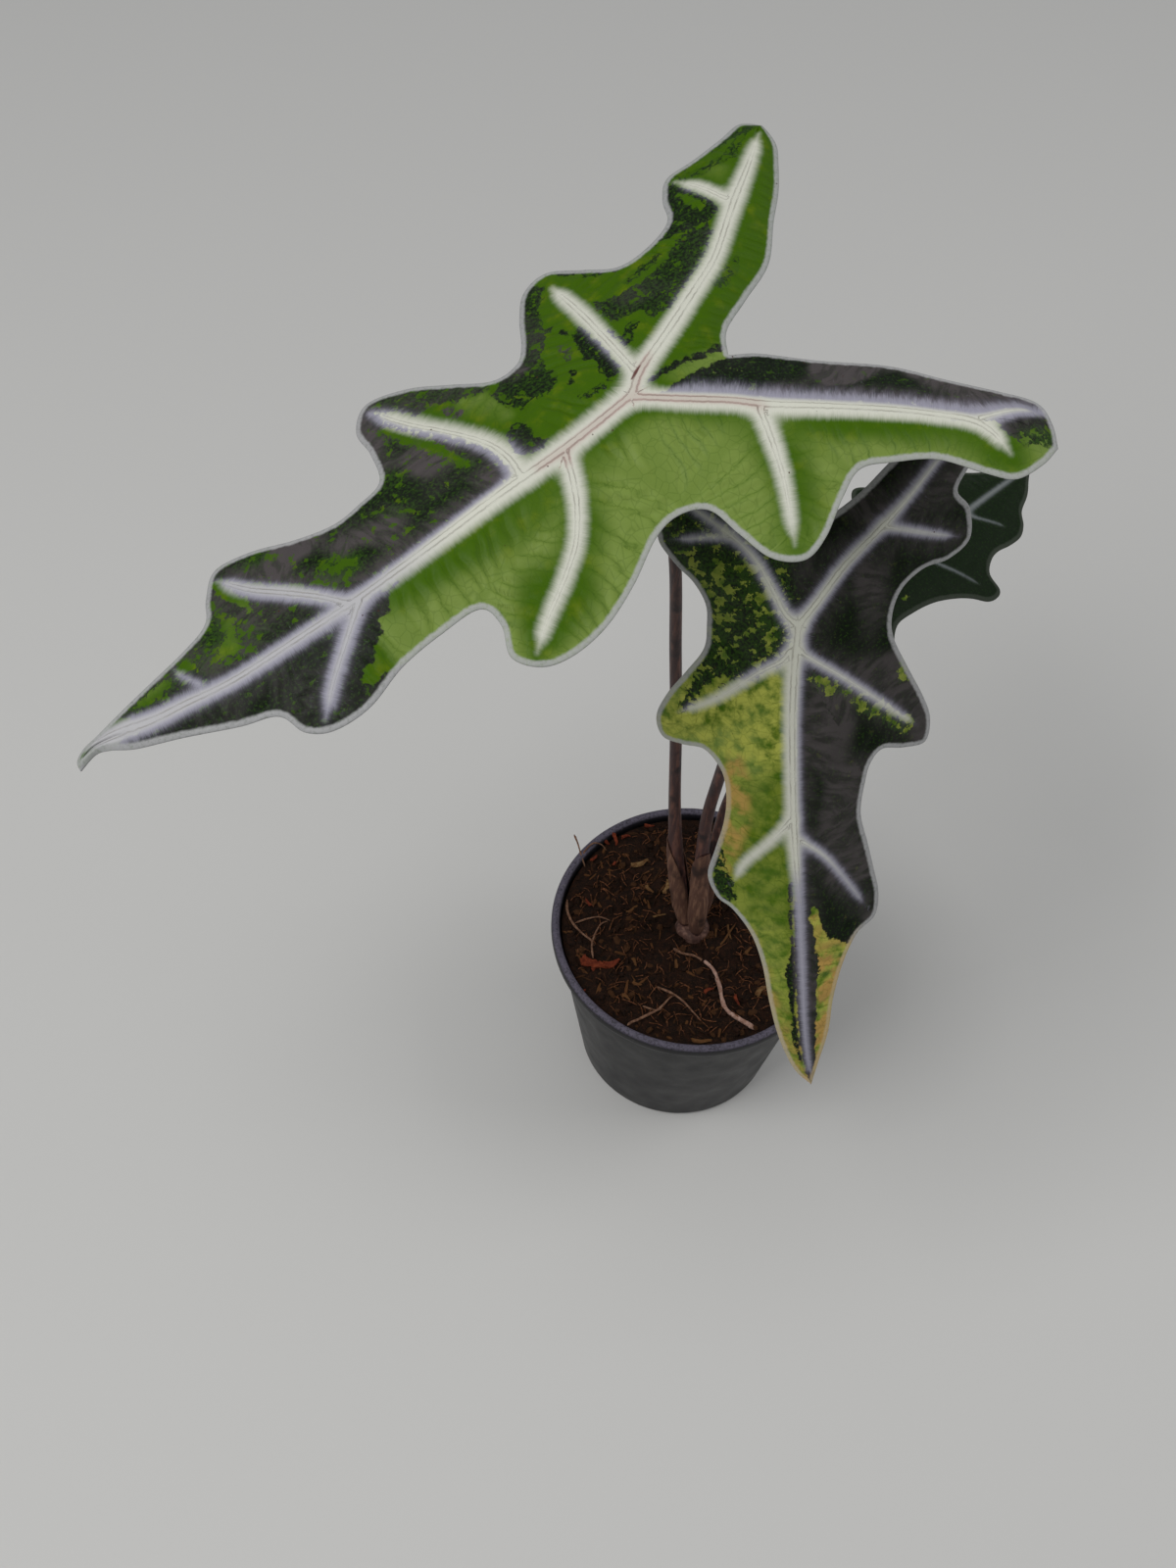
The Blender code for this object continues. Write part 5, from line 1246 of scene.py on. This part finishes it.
def buildStalk(key, leaf):
    joint, normal = np.array(leaf["place"]), leafRotation(leaf)[:, 2]
    rows = list(stalkRows[key])
    for drop in stalkShape["neckDrops"]:
        radius = stalkShape["head"][key] if drop == stalkShape["neckDrops"][-1] else rows[-1][3]
        rows.append((*(joint - normal * drop), radius))
    path = smoothPath(rows, 8)
    stalk = addStrands("stalk_" + key + "_skin", [path], 8, stalkSkin)
    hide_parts("stalk_" + key)

    # sheath: an open papery tube whose edges curl away
    facing, length = sheathShape[key]
    bm = bmesh.new()
    along, around = sheathShape["grid"]
    grid = bmesh.ops.create_grid(bm, x_segments=along, y_segments=around, size=1.0)["verts"]
    u = np.array([(vert.co.x + 1) / 2 for vert in grid])
    v = np.array([vert.co.y for vert in grid])
    lengths = lineLength(path[:, :3])
    rise = sheathShape["start"] + u * length
    spot, side, cross = (np.column_stack([np.interp(rise, lengths, column) for column in part.T])
                         for part in (path, *frameAlong(path[:, :3])))
    ragged = 0.12 * (valueNoise(np.column_stack([v * 9, u * 0 + facing]), 1.3, 61) - 0.5)
    half = np.radians(165) * np.sqrt(np.clip(1.0 - u ** 2.4, 0.0, 1.0)) + 0.12
    angle = np.radians(facing) + v * half * (1 + ragged)
    crumple = 0.35 * (valueNoise(np.column_stack([u * 30, v * 6]), 2.0, 62) - 0.3)
    lift = 0.45 + 0.9 * np.abs(v) ** 5 * (1 - u) + crumple
    out = (spot[:, 3] + lift)[:, None]
    world = spot[:, :3] + out * (np.cos(angle)[:, None] * side + np.sin(angle)[:, None] * cross)
    for vert, place in zip(grid, world * mm):
        vert.co = place
    for face in bm.faces:
        face.smooth = True
    bmesh.ops.recalc_face_normals(bm, faces=bm.faces)
    sheath = addObject("sheath_" + key, bm, [sheathSkin])
    solid = sheath.modifiers.new("Paper", "SOLIDIFY")
    solid.thickness, solid.offset = sheathShape["paper"] * mm, 0.0


def buildStem():
    profile = [(0, 60.3), (6, 60.3), (7.5, 63), (7.5, 90), (7.3, 91.2), (7.4, 92.2),
               (7.0, 93.2), (7.1, 94.2), (6.6, 95.6), (5.6, 96.8), (4, 97), (0, 97)]
    bm = turned(profile, 64)
    places = np.array([vert.co for vert in bm.verts]) / mm
    around = np.column_stack([np.arctan2(places[:, 1], places[:, 0]) * 6, places[:, 2]])
    for vert, bump in zip(bm.verts, 0.5 * (valueNoise(around, 2.2, 71) - 0.5)):
        vert.co = Vector((vert.co.x * (1 + bump * 0.12), vert.co.y * (1 + bump * 0.12) - 0.5 * mm, vert.co.z))
    stem = addObject("stem_crown", bm, [collarSkin])
    softEdges(stem, 60.0)
    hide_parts("stem_base")


for key, leaf in (("large", largeLeaf), ("front", frontLeaf), ("small", smallLeaf)):
    buildStalk(key, leaf)
buildStem()
print("stalks done")


# setting
# A bare studio: one key light, a weak fill, and the camera that fits the rim of the pot

def areaLight(name, place, target, size, power):
    light = bpy.data.lights.new(name, "AREA")
    light.shape = "RECTANGLE"
    light.size, light.size_y = size
    light.energy = power
    obj = bpy.data.objects.new(name, light)
    obj.location = place
    obj.rotation_euler = (Vector(target) - Vector(place)).to_track_quat("-Z", "Y").to_euler()
    scene.collection.objects.link(obj)


bm = bmesh.new()
bmesh.ops.create_grid(bm, x_segments=1, y_segments=1, size=6.0)
paper = startMaterial("matt_paper", {"Base Color": "#C9C8C5", "Roughness": 0.9})[0]
floor = plainObject("studio_floor", bm, [paper])

world = bpy.data.worlds.new("studio")
scene.world = world
world.use_nodes = True
world.node_tree.nodes["Background"].inputs[0].default_value = (0.95, 0.97, 1.0, 1.0)
world.node_tree.nodes["Background"].inputs[1].default_value = 0.35
areaLight("key_softbox", (-0.75, -0.5, 1.5), (0.0, 0.0, 0.3), (0.9, 0.9), 14.0)
areaLight("fill_softbox", (1.0, 0.2, 1.2), (0.0, 0.0, 0.3), (0.9, 0.9), 5.0)

view = {"place": (-0.0494, -0.4747, 0.8887), "pitch": 55.68, "roll": 4.92, "lens": 50.0}
camera = bpy.data.cameras.new("camera")
camera.lens = view["lens"]
camera.sensor_width = 36.0
cameraObj = bpy.data.objects.new("camera", camera)
turn = (Matrix.Rotation(math.radians(90.0 - view["pitch"]), 4, "X")
        @ Matrix.Rotation(math.radians(view["roll"]), 4, "Z"))
cameraObj.matrix_world = Matrix.Translation(view["place"]) @ turn
scene.collection.objects.link(cameraObj)
scene.camera = cameraObj
scene.view_settings.view_transform = "Standard"
print("setting done")
